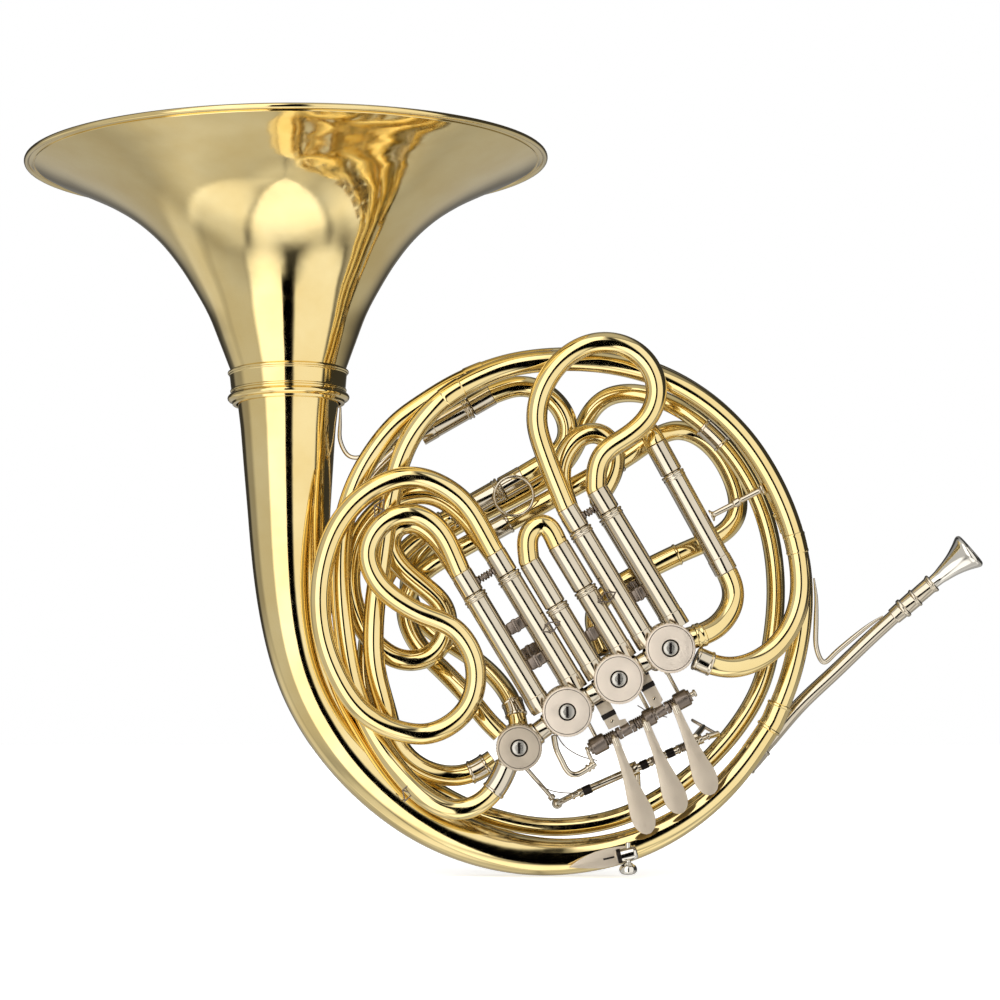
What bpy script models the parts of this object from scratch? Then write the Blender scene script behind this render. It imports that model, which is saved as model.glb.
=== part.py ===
"""French horn: a double horn with three finger valves and a thumb valve.

Lengths below are millimetres in the horn's own frame: x to the right, z up,
y away from the side that carries the valve caps, and zero at the centre of
the round body. Objects are placed in metres with the origin at the left hand's
grip on the main tube.
"""
import math

import bmesh
import bpy
from mathutils import Matrix, Vector

MM = 0.001
GRIP = Vector((80.0, 0.0, -118.0))
GAP = 0.3

# Layers in depth
FRONT = -28.0
REAR = 2.0
BACK = 20.0

# Tubing
TUBE = 6.2
THIN_TUBE = 5.8
BORE = 5.9
OUTER = 6.5
LEG = 5.3
RING = 7.2
SLEEVE = 6.5

# Rotary valves: centres (x, z) and outer radius of each casing
VALVES = {
    "thumb": (-27.0, -78.0, 12.2),
    "third": (1.0, -57.0, 13.4),
    "second": (31.0, -38.0, 13.4),
    "first": (61.0, -20.0, 13.4),
}
ROW = Vector((0.857, 0.0, 0.515)).normalized()
PULL = Vector((-ROW.z, 0.0, ROW.x))
DEPTH = Vector((0.0, 1.0, 0.0))
KNUCKLES = {"third": "thumb", "second": "third", "first": "second"}
CASING_FRONT = -42.0
CASING_BACK = 16.0
CASING_WALL = 2.5
CAP_FACE = -47.0
SPINDLE = 3.0
SPINDLE_BACK = 24.0
ARM_FRONT = 18.5
ARM_REACH = 10.2
THUMB_REACH = 7.2
PIN_BACK = 37.0
TURN = math.radians(45)

# Finger levers
AXLE_START = Vector((14.0, -22.0, -80.0))
AXLE_END = Vector((75.0, -22.0, -47.4))
# Each lever: where its barrel starts and ends along the axle, where its rear arm stands, and the side
# of its stop arm
LEVERS = {
    "third": (0.5, 21.5, 6.7, 1.0),
    "second": (28.0, 44.5, 42.0, 1.0),
    "first": (51.0, 67.5, 62.4, -1.0),
}
PADDLES = {"third": (29.0, -73.0, 49.0, -129.0), "second": (47.0, -64.0, 68.0, -117.0),
           "first": (64.0, -54.0, 86.0, -106.0)}

MATERIALS = {
    "brass": ((0.83, 0.62, 0.22), 0.16),
    "nickel": ((0.72, 0.67, 0.6), 0.2),
    "satin": ((0.66, 0.6, 0.51), 0.42),
    "silver": ((0.8, 0.8, 0.78), 0.14),
    "steel": ((0.45, 0.43, 0.4), 0.3),
}


# ---------------------------------------------------------------- helpers
def clear_scene():
    """Removes every object, so that the model starts from nothing."""
    for old in list(bpy.data.objects):
        bpy.data.objects.remove(old, do_unlink=True)


def collection(name):
    made = bpy.data.collections.new(name)
    bpy.context.scene.collection.children.link(made)
    return made


def material(name, slot):
    """A Principled material for one piece, with its slot's colour and roughness."""
    colour, roughness = MATERIALS[slot]
    made = bpy.data.materials.new(name)
    made.use_nodes = True
    shader = made.node_tree.nodes["Principled BSDF"]
    shader.inputs["Base Color"].default_value = (*colour, 1.0)
    shader.inputs["Metallic"].default_value = 1.0
    shader.inputs["Roughness"].default_value = roughness
    made.diffuse_color = (*colour, 1.0)
    return made


def place(point):
    """A point of the horn's frame in metres from the grip."""
    return (Vector(point) - GRIP) * MM


def across(direction):
    """A rotation that turns local Z to the direction, as a 4x4 matrix."""
    return Vector(direction).to_track_quat("Z", "Y").to_matrix().to_4x4()


def solid_from(obj, weld=0.00001):
    """The object's evaluated shape as one plain welded mesh object in the world frame."""
    bpy.context.view_layer.update()
    graph = bpy.context.evaluated_depsgraph_get()
    mesh = bpy.data.meshes.new_from_object(obj.evaluated_get(graph))
    mesh.transform(obj.matrix_world)
    body = bmesh.new()
    body.from_mesh(mesh)
    bmesh.ops.remove_doubles(body, verts=body.verts, dist=weld)
    bmesh.ops.recalc_face_normals(body, faces=body.faces)
    body.to_mesh(mesh)
    body.free()
    made = bpy.data.objects.new(obj.name + "_solid", mesh)
    CUTTERS.objects.link(made)
    bpy.data.objects.remove(obj, do_unlink=True)
    return made


def combine(target, tools, operation):
    """The target joined to, or cut by, each tool in turn."""
    for tool in tools:
        step = target.modifiers.new("boolean", "BOOLEAN")
        step.operation = operation
        step.object = tool
        step.solver = "EXACT"
        target = solid_from(target)
        bpy.data.objects.remove(tool, do_unlink=True)
    return target


def join(*pieces):
    return combine(pieces[0], pieces[1:], "UNION")


def cut(target, *tools):
    return combine(target, tools, "DIFFERENCE")


def finish(name, body, slot, pivot=None, sharp=32.0):
    """Names a finished solid, gives it its material and puts its origin on the pivot."""
    pivot = place(pivot) if pivot is not None else Vector((0.0, 0.0, 0.0))
    body.name = name
    body.data.name = name
    body.data.transform(Matrix.Translation(-pivot))
    body.location = pivot
    body.data.shade_smooth()
    body.data.set_sharp_from_angle(angle=math.radians(sharp))
    body.data.materials.clear()
    body.data.materials.append(material(name, slot))
    for holder in list(body.users_collection):
        holder.objects.unlink(body)
    HORN.objects.link(body)
    return body


def turned(profile, steps, base, direction, closed=False):
    """A profile of (radius, height) pairs turned about a line, as a solid."""
    mesh = bpy.data.meshes.new("profile")
    count = len(profile)
    edges = [(i, i + 1) for i in range(count - 1)]
    if closed:
        edges.append((count - 1, 0))
    mesh.from_pydata([(r * MM, 0.0, h * MM) for r, h in profile], edges, [])
    obj = bpy.data.objects.new("turned", mesh)
    CUTTERS.objects.link(obj)
    screw = obj.modifiers.new("turn", "SCREW")
    screw.axis = "Z"
    screw.angle = math.tau
    screw.steps = steps
    screw.render_steps = steps
    screw.use_merge_vertices = True
    screw.merge_threshold = 0.00001
    obj.matrix_world = Matrix.Translation(place(base)) @ across(direction)
    return solid_from(obj)


def cylinder(start, end, radius, steps=16):
    """A round bar between two points."""
    start = Vector(start)
    line = Vector(end) - start
    height = line.length
    return turned([(0, height), (radius, height), (radius, 0), (0, 0)], steps, start, line)


def pipe(start, end, outer, bore, steps=12, ring=None):
    """A straight hollow tube, with a raised ring at its far end if asked."""
    start = Vector(start)
    line = Vector(end) - start
    top = line.length
    profile = [(bore, top), (outer, top), (outer, 0), (bore, 0)]
    if ring:
        profile = [(bore, top), (ring, top), (ring, top - 2.4), (outer, top - 3.4), (outer, 0), (bore, 0)]
    return turned(profile, steps, start, line, closed=True)


def box(centre, size, axes=None):
    """A box of the given size, turned to the given x, y and z directions."""
    bpy.ops.mesh.primitive_cube_add(size=1.0)
    obj = bpy.context.object
    turn = Matrix.Identity(4)
    if axes:
        turn = Matrix([Vector(a) for a in axes]).transposed().to_4x4()
    obj.data.transform(Matrix.Diagonal((*(Vector(size) * MM), 1.0)))
    obj.matrix_world = Matrix.Translation(place(centre)) @ turn
    return solid_from(obj)


def ball(centre, radius, segments=12, rings=8):
    bpy.ops.mesh.primitive_uv_sphere_add(segments=segments, ring_count=rings, radius=radius * MM)
    obj = bpy.context.object
    obj.location = place(centre)
    return solid_from(obj)


def catmull(points, spacing):
    """Points every few millimetres along the smooth curve through the given points.

    Each point may carry its radius as a fourth value, which is blended along the curve.
    """
    rows = [tuple(p) for p in points]
    first = tuple(2 * a - b for a, b in zip(rows[0], rows[1]))
    last = tuple(2 * a - b for a, b in zip(rows[-1], rows[-2]))
    padded = [first] + rows + [last]
    smooth = []
    for i in range(1, len(padded) - 2):
        p0, p1, p2, p3 = padded[i - 1:i + 3]
        knots = [0.0]
        for a, b in ((p0, p1), (p1, p2), (p2, p3)):
            knots.append(knots[-1] + math.sqrt(max(math.dist(a[:3], b[:3]), 0.01)))
        count = max(1, round(math.dist(p1[:3], p2[:3]) / spacing))
        for k in range(count):
            t = knots[1] + (knots[2] - knots[1]) * k / count
            smooth.append(tuple(blend(t, knots, values) for values in zip(p0, p1, p2, p3)))
    smooth.append(rows[-1])
    return smooth


def mix(a, b, share):
    return a + (b - a) * share


def blend(t, knots, values):
    """One coordinate of a centripetal Catmull-Rom curve at t."""
    k0, k1, k2, k3 = knots
    v0, v1, v2, v3 = values
    a1 = mix(v0, v1, (t - k0) / (k1 - k0))
    a2 = mix(v1, v2, (t - k1) / (k2 - k1))
    a3 = mix(v2, v3, (t - k2) / (k3 - k2))
    b1 = mix(a1, a2, (t - k0) / (k2 - k0))
    b2 = mix(a2, a3, (t - k1) / (k3 - k1))
    return mix(b1, b2, (t - k1) / (k2 - k1))


def rod(points, radius, sides=8):
    """A round bar along points, each of which may carry its own radius."""
    curve = bpy.data.curves.new("route", "CURVE")
    curve.dimensions = "3D"
    curve.bevel_depth = MM
    curve.bevel_resolution = (sides - 4) // 2
    curve.use_fill_caps = True
    curve.twist_mode = "MINIMUM"
    spline = curve.splines.new("POLY")
    spline.points.add(len(points) - 1)
    for knot, point in zip(spline.points, points):
        knot.co = (*place(point[:3]), 1.0)
        knot.radius = point[3] if len(point) > 3 else radius
    obj = bpy.data.objects.new("route", curve)
    CUTTERS.objects.link(obj)
    return solid_from(obj)


clear_scene()
HORN = collection("french_horn")
CUTTERS = collection("cutters")


# ---------------------------------------------------------------- bell
BELL_TILT = math.radians(8.05)
BELL_AXIS = Vector((-0.015, math.sin(BELL_TILT), math.cos(BELL_TILT))).normalized()
RING_CENTRE = Vector((-163.5, 14.0, 131.0))
WALL = 0.9
FLARE = [(30.5, 3), (34.8, 14), (40.4, 29), (47, 46), (55.5, 62), (65.5, 78), (77.5, 93), (92, 106),
         (109, 117), (128, 126.5), (143, 133.2), (153, 138)]


def bell():
    """The flare with its bead and ring; the branch below carries on the same taper."""
    inner = [(r - WALL * 0.6, h + WALL) for r, h in FLARE[1:-1]]
    inner = [(FLARE[0][0] - WALL, FLARE[0][1])] + inner
    rim = FLARE[-1]
    bead = [(rim[0] + 1.6 + 1.6 * math.cos(a), rim[1] + 1.0 + 1.6 * math.sin(a))
            for a in (math.radians(150 - 60 * k) for k in range(6))]
    profile = bead + list(reversed(FLARE[:-1])) + inner
    finish("bell_flare", turned(profile, 30, RING_CENTRE, BELL_AXIS, closed=True), "brass")

    ring = [(35.6, 11), (35.6, 8.6), (34.2, 7.6), (33.2, -2.2), (35.6, -3.4), (35.6, -5.6), (33.2, -7),
            (31.2, -7), (31.2, 3), (34.5, 11)]
    finish("bell_ring", turned(ring, 28, RING_CENTRE, BELL_AXIS, closed=True), "brass")


# ---------------------------------------------------------------- branch and wraps
# Centre line of the bell branch, from the ring down and round to the main wrap: x, y, z, radius
BRANCH = [(-163.6, 13.0, 127, 30.4), (-163.5, 10.5, 108, 28.2), (-163.2, 8, 85, 26.4),
          (-162.8, 6, 60, 24.6), (-162.2, 4, 34, 22.9), (-159.5, 2, -2, 20.6), (-151, 1, -40, 18.6),
          (-133, 0, -74, 17), (-107, 0, -104, 15.4), (-75, 0, -127, 14), (-38, 0, -141, 12.4),
          (-3, 0, -145, 10.8), (39, 0, -138, 9.4), (75, 0, -120, 8), (103, 0, -94, 7.1),
          (122, 0, -66, 6.5)]
MAIN_WRAP = [(123.2, 0, -63.8), (132, 0, -42), (138, 0, -18), (140.5, 0, 8), (138, -1, 34),
             (130, -1, 58), (118, -1, 84), (102, -1, 107), (81, -1, 126), (56, -1, 140), (28, -1, 148),
             (-3, -1, 150), (-34, -2, 146), (-63, -4, 135), (-82, -5, 123.5), (-98, -5.5, 112),
             (-112, -8, 95), (-123, -12, 75), (-130, -13, 52), (-132, -13, 25), (-130, -13, -8),
             (-124, -14, -43), (-114, -14, -68), (-98, -19, -92), (-83, -26, -107), (-66, -28, -115.5),
             (-50, -28, -112), (-39, -28, -100), (-33, -28, -86)]
FRONT_WRAP = [(76, -28, -26), (88, -27, -31), (101, -24, -32), (118, -20, -25), (131, -17, -11),
              (138, -15, 8), (137.5, -15, 31), (131, -15, 56), (119, -15, 82), (103, -15, 105),
              (82, -15, 124), (57, -15, 138), (28, -15, 146), (-3, -15, 148), (-34, -15.5, 144),
              (-61, -17, 132), (-75, -19, 122), (-86, -17, 110), (-94, -15.2, 96), (-100, -14.5, 78),
              (-104, -14, 58), (-108, -13, 30), (-112, -13, 0), (-112, -12, -30), (-105, -9, -58),
              (-99, -3, -78), (-87, 0, -91), (-70, 2, -97), (-54, 2, -95), (-42, 2, -87)]
INNER_WRAP = [(-67.9, 20, 55.8), (-73, 20, 52.8), (-84, 20, 45), (-97, 19, 34), (-109, 18, 14),
              (-116, 16, -12), (-117, 15, -42), (-107, 14, -73), (-86, 13, -99), (-60, 12, -115),
              (-30, 11, -125), (0, 10, -127.5), (36, 10, -120.5), (70, 11, -101), (98, 12, -74),
              (116, 13, -45), (124, 14, -10), (125, 14, 24), (119, 14, 56), (106, 14, 84), (89, 14, 105),
              (66, 16, 122), (42, 23, 130), (24, 30.5, 127), (14, 34, 116), (8, 34.5, 100), (-1, 34, 86),
              (-20, 34, 73), (-45, 34, 60), (-66, 34, 50), (-84, 35, 36), (-93, 36, 18), (-90, 36, 0),
              (-76, 34, -14), (-57, 28, -26), (-42, 20, -38), (-32, 10, -51), (-28, 3, -62),
              (-27, 2, -68)]
REAR_LOOP = [(-38, 2, -71.5), (-45, 2, -65), (-57, 7, -50), (-72, 17, -35), (-87, 23, -20),
             (-94, 24, -4), (-93, 22, 12), (-82, 20, 25), (-67, 20, 34), (-40, 20, 49), (-7, 20, 67),
             (15, 20, 79), (38, 20, 92), (55, 22, 104), (69, 27, 108.5), (81, 28, 104), (91, 28, 95),
             (98, 28, 84), (103, 28, 71), (104, 27, 60), (100, 25, 51), (91, 22, 44), (72, 19, 36),
             (53, 18, 27), (36, 18, 18), (22, 17, 8), (17, 12, -4), (20, 5, -15), (24, 2, -24)]
LEADPIPE = [(199, 6, 1), (180, 9, -16.5), (160, 12.5, -36), (140, 15.5, -55), (122, 17, -76),
            (102, 18, -99), (78, 19, -120), (48, 21, -137), (12, 23, -147), (-30, 25, -146),
            (-70, 28, -134), (-104, 31, -112), (-130, 34, -80), (-143, 36, -44), (-144, 36, -5),
            (-137, 35, 34), (-123, 32, 68), (-108, 26, 88), (-89.5, 20.5, 102.5)]


def branch():
    """The tapered branch is a shell: its bore opens into the bell at the top."""
    outer = rod(catmull(BRANCH, 30), 10, 12)
    wall = 0.9
    reach = [(-163.8, 14.5, 134, 30.4 - wall)] + [(x, y, z, r - wall) for x, y, z, r in BRANCH]
    end = BRANCH[-1]
    beyond = BRANCH[-2]
    past = tuple(end[i] + 0.08 * (end[i] - beyond[i]) for i in range(3)) + (end[3] - wall,)
    bore = rod(catmull(reach + [past], 30), 10, 12)
    finish("bell_branch", cut(outer, bore), "brass")


def wraps():
    finish("main_wrap", casing_cut(rod(catmull(MAIN_WRAP, 17), TUBE), "thumb"), "brass")
    body = casing_cut(rod(catmull(FRONT_WRAP, 17), TUBE), "first")
    finish("front_wrap", casing_cut(body, "thumb"), "brass")
    finish("inner_wrap", casing_cut(rod(catmull(INNER_WRAP, 17), THIN_TUBE), "thumb"), "brass")
    loop = casing_cut(rod(catmull(REAR_LOOP, 13), THIN_TUBE), "thumb")
    finish("rear_loop", casing_cut(loop, "second"), "brass")
    finish("leadpipe", rod(catmull(LEADPIPE, 20), 5.0), "nickel")


# ---------------------------------------------------------------- valves
def valve(name):
    x, z, radius = VALVES[name]
    return Vector((x, 0.0, z)), radius


def spot(name, along, up, depth):
    """A point near a valve: along the row, up the slides' direction, and at a depth."""
    centre, _ = valve(name)
    return centre + ROW * along + PULL * up + DEPTH * depth


def casing_cut(body, name):
    """Trims a tube to end just off the valve casing's wall."""
    centre, radius = valve(name)
    tool = cylinder(centre + DEPTH * -70, centre + DEPTH * 60, radius + GAP, 16)
    return cut(body, tool)


def knuckle(name, neighbour):
    """The short tube between two casings, rooted in this one's wall and ending just off the other's."""
    start, radius = valve(name)
    end, _ = valve(neighbour)
    line = (end - start).normalized()
    body = cylinder(start + line * (radius - 1) + DEPTH * FRONT, end + DEPTH * FRONT, 5.6, 12)
    return casing_cut(body, neighbour)


def valves():
    for name in VALVES:
        centre, radius = valve(name)
        bore = radius - CASING_WALL
        depth = CASING_BACK - CASING_FRONT
        base = centre + DEPTH * CASING_BACK
        shell = [(bore, depth), (radius, depth), (radius, 0), (SPINDLE + GAP, 0), (SPINDLE + GAP, 3),
                 (bore, 3)]
        body = turned(shell, 16, base, -DEPTH, closed=True)
        holes = []
        for layer in (FRONT, REAR):
            for angle in (50, 130):
                aim = ROW * math.cos(math.radians(angle)) + PULL * math.sin(math.radians(angle))
                start = centre + aim * (bore - 3) + DEPTH * layer
                holes.append(cylinder(start, start + aim * 10, 4.6, 8))
        body = cut(body, *holes)
        if name in KNUCKLES:
            body = join(body, knuckle(name, KNUCKLES[name]))
        finish(name + "_valve_casing", body, "nickel")

        cap_radius = radius + 1.1
        edge = cap_radius - 0.7
        cap = [(3.9, 0), (3.9, 1.4), (radius + GAP, 1.4), (radius + GAP, 5.4), (cap_radius, 5.4),
               (cap_radius, 0.6), (edge, 0)]
        cap.reverse()
        front = centre + DEPTH * CAP_FACE
        finish(name + "_valve_cap", turned(cap, 18, front, DEPTH, closed=True), "satin")

        plate = [(SPINDLE + GAP, 0), (bore - GAP, 0), (bore - GAP, 3), (SPINDLE + GAP, 3)]
        seat = centre + DEPTH * (CASING_FRONT + 0.5)
        finish(name + "_bearing_plate", turned(plate, 12, seat, DEPTH, closed=True), "nickel")
        rotor(name, centre, bore)
        stop_arm(name, centre)


def rotor(name, centre, bore):
    """A plug with two side passages on each deck, on a spindle slotted at the front."""
    front = CASING_FRONT + 3.9
    back = CASING_BACK - 3.4
    radius = bore - 0.5
    tail = SPINDLE_BACK
    head = CAP_FACE + 0.2
    profile = [(0, tail - head), (SPINDLE, tail - head), (SPINDLE, back - head), (radius, back - head),
               (radius, front - head), (SPINDLE, front - head), (SPINDLE, 0), (0, 0)]
    body = turned(profile, 12, centre + DEPTH * head, DEPTH)
    tools = []
    for layer in (FRONT, REAR):
        for side in (-1, 1):
            middle = centre + ROW * side * radius + DEPTH * layer
            tools.append(cylinder(middle - PULL * 12, middle + PULL * 12, 5.2, 8))
    slot = box(centre + DEPTH * head, (1.0, 3.0, 4.6))
    finish(name + "_rotor", cut(body, slot, *tools), "nickel", pivot=centre)


def arm_aim(name):
    """The direction in which a stop arm points at rest, and the arm's length."""
    if name == "thumb":
        return Vector((-0.14, 0.0, -0.99)).normalized(), THUMB_REACH
    side = LEVERS[name][3]
    return ROW * side * math.cos(TURN) - PULL * math.sin(TURN), ARM_REACH


def stop_arm(name, centre):
    """The arm clamped on the spindle's back end, with the pin that the link turns."""
    aim, reach = arm_aim(name)
    hub_profile = [(SPINDLE + GAP, 4), (6.0, 4), (6.0, 0), (SPINDLE + GAP, 0)]
    hub = turned(hub_profile, 12, centre + DEPTH * ARM_FRONT, DEPTH, closed=True)
    start = centre + aim * 5 + DEPTH * (ARM_FRONT + 2)
    end = centre + aim * (reach + 2) + DEPTH * (ARM_FRONT + 2)
    middle = (start + end) / 2
    arm = box(middle, ((end - start).length, 3.0, 4.4), (aim, DEPTH, aim.cross(DEPTH)))
    pin_base = centre + aim * reach + DEPTH * (ARM_FRONT + 2)
    back = PIN_BACK if name != "thumb" else PIN_BACK - 1
    pin = cylinder(pin_base, pin_base + DEPTH * (back - ARM_FRONT - 2), 1.3, 8)
    finish(name + "_stop_arm", join(hub, arm, pin), "nickel", pivot=centre)


# ---------------------------------------------------------------- slides
LEG_FOOT = 7.2
# Each valve slide: valve, depth, leg offsets along the row, ring height up the legs, sleeve length,
# leg length, and the bow's route (x, z) from the right leg to the left one
SLIDES = {
    "third_front": ("third", FRONT, (-11.5, 11.5), 86.0, 15.0, 54.0, [
        (-61, 67), (-88, 80), (-112, 73), (-132, 53), (-143, 18), (-139, -22), (-116, -60), (-80, -71),
        (-57, -56), (-52, -31), (-64, -9), (-88, 1), (-109, 17), (-116, 36), (-107, 53), (-90, 59),
        (-74, 50)]),
    "third_rear": ("third", REAR, (-12.5, 10.5), 84.0, 14.0, 26.0, [
        (-62, 60), (-79, 70), (-97, 68), (-111, 59), (-122, 44), (-127, 22), (-124, 2), (-113, -18),
        (-96, -29), (-78, -26), (-69, -12), (-71, 4), (-83, 15), (-97, 27), (-104, 40), (-100, 51),
        (-88, 53), (-76, 44)]),
    "second_front": ("second", FRONT, (-9.4, 10.0), 55.0, 30.0, 34.0, [(-11, 53.5), (-22, 48)]),
    "first_front": ("first", FRONT, (-9.5, 11.0), 86.0, 15.0, 54.0, [
        (18, 84), (22, 94), (38, 104), (50, 116), (54, 131), (48, 147), (34, 157), (16, 158), (-2, 148),
        (-14, 130), (-17, 112), (-12, 94)]),
    "first_rear": ("first", REAR, (-9.5, 10.0), 84.0, 12.0, 30.0, [
        (23, 72), (29, 83), (30, 95), (24, 105), (12, 106), (2, 97), (-3, 82)]),
}
STAYS = {
    "third_front": (34.0, 58.0),
    "third_rear": (40.0,),
    "second_front": (30.0,),
    "first_front": (36.0,),
    "first_rear": (40.0,),
}


def stepped(start, end, leg, sleeve):
    """A leg that widens to its sleeve: from the leg's far end to where the bow begins."""
    line = (end - start).normalized()
    shoulder = end - line * sleeve
    return [(*start, LEG), (*shoulder, LEG), (*(shoulder + line * 0.4), leg), (*end, leg)]


def slide(name):
    """A fixed pair of outer tubes with a stay, and the crook whose legs run inside them."""
    casing, depth, offsets, ring_up, sleeve, engaged, bow = SLIDES[name]
    left, right = offsets
    pair = []
    for along in offsets:
        bottom = spot(casing, along, LEG_FOOT, depth)
        top = spot(casing, along, ring_up, depth)
        pair.append(casing_cut(pipe(bottom, top, OUTER, BORE, 12, RING), casing))
    stays = []
    for up in STAYS[name]:
        middle = spot(casing, (left + right) / 2, up, depth)
        stays.append(box(middle, (right - left - 2 * OUTER + 0.5, 2.2, 3.6), (ROW, DEPTH, PULL)))
    finish(name + "_slide_tubes", join(pair[0], *stays, pair[1]), "nickel")

    legs = []
    for along in (right, left):
        low = spot(casing, along, ring_up - engaged, depth)
        high = spot(casing, along, ring_up + sleeve, depth)
        legs.append(stepped(low, high, SLEEVE, sleeve - GAP))
    middle = [(x, depth, z, TUBE) for x, z in bow]
    lead = [tuple(legs[0][-1][i] + (legs[0][-1][i] - legs[0][0][i]) * 0.01 for i in range(3)) + (TUBE,)]
    tail = [tuple(legs[1][-1][i] + (legs[1][-1][i] - legs[1][0][i]) * 0.01 for i in range(3)) + (TUBE,)]
    bend = catmull(lead + middle + tail, 16)
    route = legs[0] + bend + list(reversed(legs[1]))
    finish(name + "_slide_crook", rod(route, TUBE), "brass")


# ---------------------------------------------------------------- F tuning slide at the right
F_LINE = Vector((-0.482, 0.0, 0.876)).normalized()
F_LAYERS = (-13.6, 0.6)
F_FOOT = Vector((95.0, 0.0, 24.0))
F_LENGTH = 66.0
F_SLEEVE = 20.0


def f_slide():
    """Two legs one behind the other, with bends that carry them to the first valve."""
    pair = []
    for layer in F_LAYERS:
        foot = F_FOOT + DEPTH * layer
        pair.append(pipe(foot, foot + F_LINE * F_LENGTH, OUTER, BORE, 12, 7.0))
    middle = F_FOOT + F_LINE * 22 + DEPTH * (sum(F_LAYERS) / 2)
    stay = box(middle, (3.0, 1.8, 3.6), (ROW, DEPTH, PULL))
    finish("f_slide_tubes", join(pair[0], stay, pair[1]), "nickel")

    legs = []
    for layer in F_LAYERS:
        foot = F_FOOT + DEPTH * layer
        low = foot + F_LINE * (F_LENGTH - 40)
        high = foot + F_LINE * (F_LENGTH + F_SLEEVE)
        legs.append(stepped(low, high, SLEEVE, F_SLEEVE - GAP))
    front, back = Vector(legs[0][-1][:3]), Vector(legs[1][-1][:3])
    centre = (front + back) / 2
    reach = (back - front).length / 2
    arc = []
    for k in range(1, 8):
        angle = math.pi * k / 8
        at = centre + (front - centre) * math.cos(angle) + F_LINE * reach * math.sin(angle)
        arc.append((*at, TUBE))
    finish("f_slide_crook", rod(legs[0] + arc + list(reversed(legs[1])), TUBE), "brass")

    for label, layer, end in (("front", F_LAYERS[0], FRONT), ("back", F_LAYERS[1], REAR)):
        foot = F_FOOT + DEPTH * layer - F_LINE * 2 * GAP
        bend = [tuple(foot), tuple(foot - F_LINE * 5), (99.5, layer, 11),
                (97.5, mix(layer, end, 0.25), 2), (90, mix(layer, end, 0.65), -8), (79, end, -13.5),
                (70, end, -16)]
        finish("f_slide_bend_" + label, casing_cut(rod(catmull(bend, 6), TUBE), "first"), "brass")


# ---------------------------------------------------------------- main tuning slide
MAIN_LINE = Vector((0.87, 0.0, 0.493)).normalized()
MAIN_UPPER = Vector((-56.0, BACK, 121.5))
MAIN_LOWER = Vector((-37.5, BACK, 73.0))
MAIN_BOW = [(-37.5, BACK, 131.5), (-26, BACK, 134.5), (-13, BACK, 131), (-2, BACK, 121.5), (3, BACK, 109),
            (0, BACK, 97), (-9, BACK, 89)]
MAIN_BACK = 34.0
MAIN_SLEEVE = 15.0
MAIN_ENGAGED = 32.0


def main_slide():
    pair = []
    legs = []
    for foot in (MAIN_UPPER, MAIN_LOWER):
        pair.append(pipe(foot - MAIN_LINE * MAIN_BACK, foot, OUTER, BORE, 12, RING))
        low = foot - MAIN_LINE * MAIN_ENGAGED
        high = foot + MAIN_LINE * MAIN_SLEEVE
        legs.append(stepped(low, high, SLEEVE, MAIN_SLEEVE - GAP))
    across_line = (MAIN_UPPER - MAIN_LOWER).normalized()
    stay = rod([tuple(MAIN_LOWER - MAIN_LINE * 20 + across_line * 6.2),
                tuple(MAIN_UPPER - MAIN_LINE * 20 - across_line * 6.2)], 1.8, 8)
    finish("main_slide_tubes", join(pair[0], stay, pair[1]), "nickel")
    bend = catmull([(*p, TUBE) for p in MAIN_BOW], 10)
    crook = rod(legs[0] + bend + list(reversed(legs[1])), TUBE)
    lug = box(Vector((PULL_RING.x, 12.8, PULL_RING.z + PULL_RADIUS)), (3.0, 3.4, 3.0))
    finish("main_slide_crook", join(crook, lug), "brass")


# ---------------------------------------------------------------- levers
AXLE = (AXLE_END - AXLE_START).normalized()
LIFT = AXLE.cross(DEPTH)
AXLE_RADIUS = 1.5
BARREL = 3.7
PADDLE_DEPTH = -27.2
PADDLE_THICK = 1.6
LINK_DEPTH = 33.0
ARM_ROOT = 2.4
LINK_REACH = {"third": 19.7, "second": 22.2, "first": 23.5}
# Half widths of a paddle along its length
PADDLE = [(0.0, 2.2), (0.2, 2.6), (0.42, 3.9), (0.62, 6.0), (0.78, 7.5), (0.9, 6.8), (0.97, 4.3),
          (1.0, 1.5)]


def plate(outline, thick, centre, axes):
    """A flat outline of (across, up) points given a thickness, turned to the given directions."""
    curve = bpy.data.curves.new("outline", "CURVE")
    curve.dimensions = "2D"
    curve.fill_mode = "BOTH"
    curve.extrude = thick / 2 * MM
    spline = curve.splines.new("POLY")
    spline.use_cyclic_u = True
    spline.points.add(len(outline) - 1)
    for knot, (u, v) in zip(spline.points, outline):
        knot.co = (u * MM, v * MM, 0.0, 1.0)
    obj = bpy.data.objects.new("outline", curve)
    CUTTERS.objects.link(obj)
    turn = Matrix([Vector(a) for a in axes]).transposed().to_4x4()
    obj.matrix_world = Matrix.Translation(place(centre)) @ turn
    return solid_from(obj)


def barrel(start, line, low, high):
    """A hollow barrel with the turns of its spring as ribs."""
    profile = [(AXLE_RADIUS + GAP, high), (BARREL, high)]
    count = int((high - low) // 5)
    pitch = (high - low) / count
    for k in reversed(range(count)):
        top = low + pitch * (k + 1)
        if k < count - 1:
            profile.append((BARREL, top - 0.5))
        profile.append((BARREL, top - pitch + 1.1))
        profile.append((BARREL - 0.7, top - pitch + 0.8))
        if k:
            profile.append((BARREL - 0.7, top - pitch - 0.2))
    profile += [(BARREL - 0.7, low), (AXLE_RADIUS + GAP, low)]
    return turned(profile, 10, start, line, closed=True)


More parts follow.
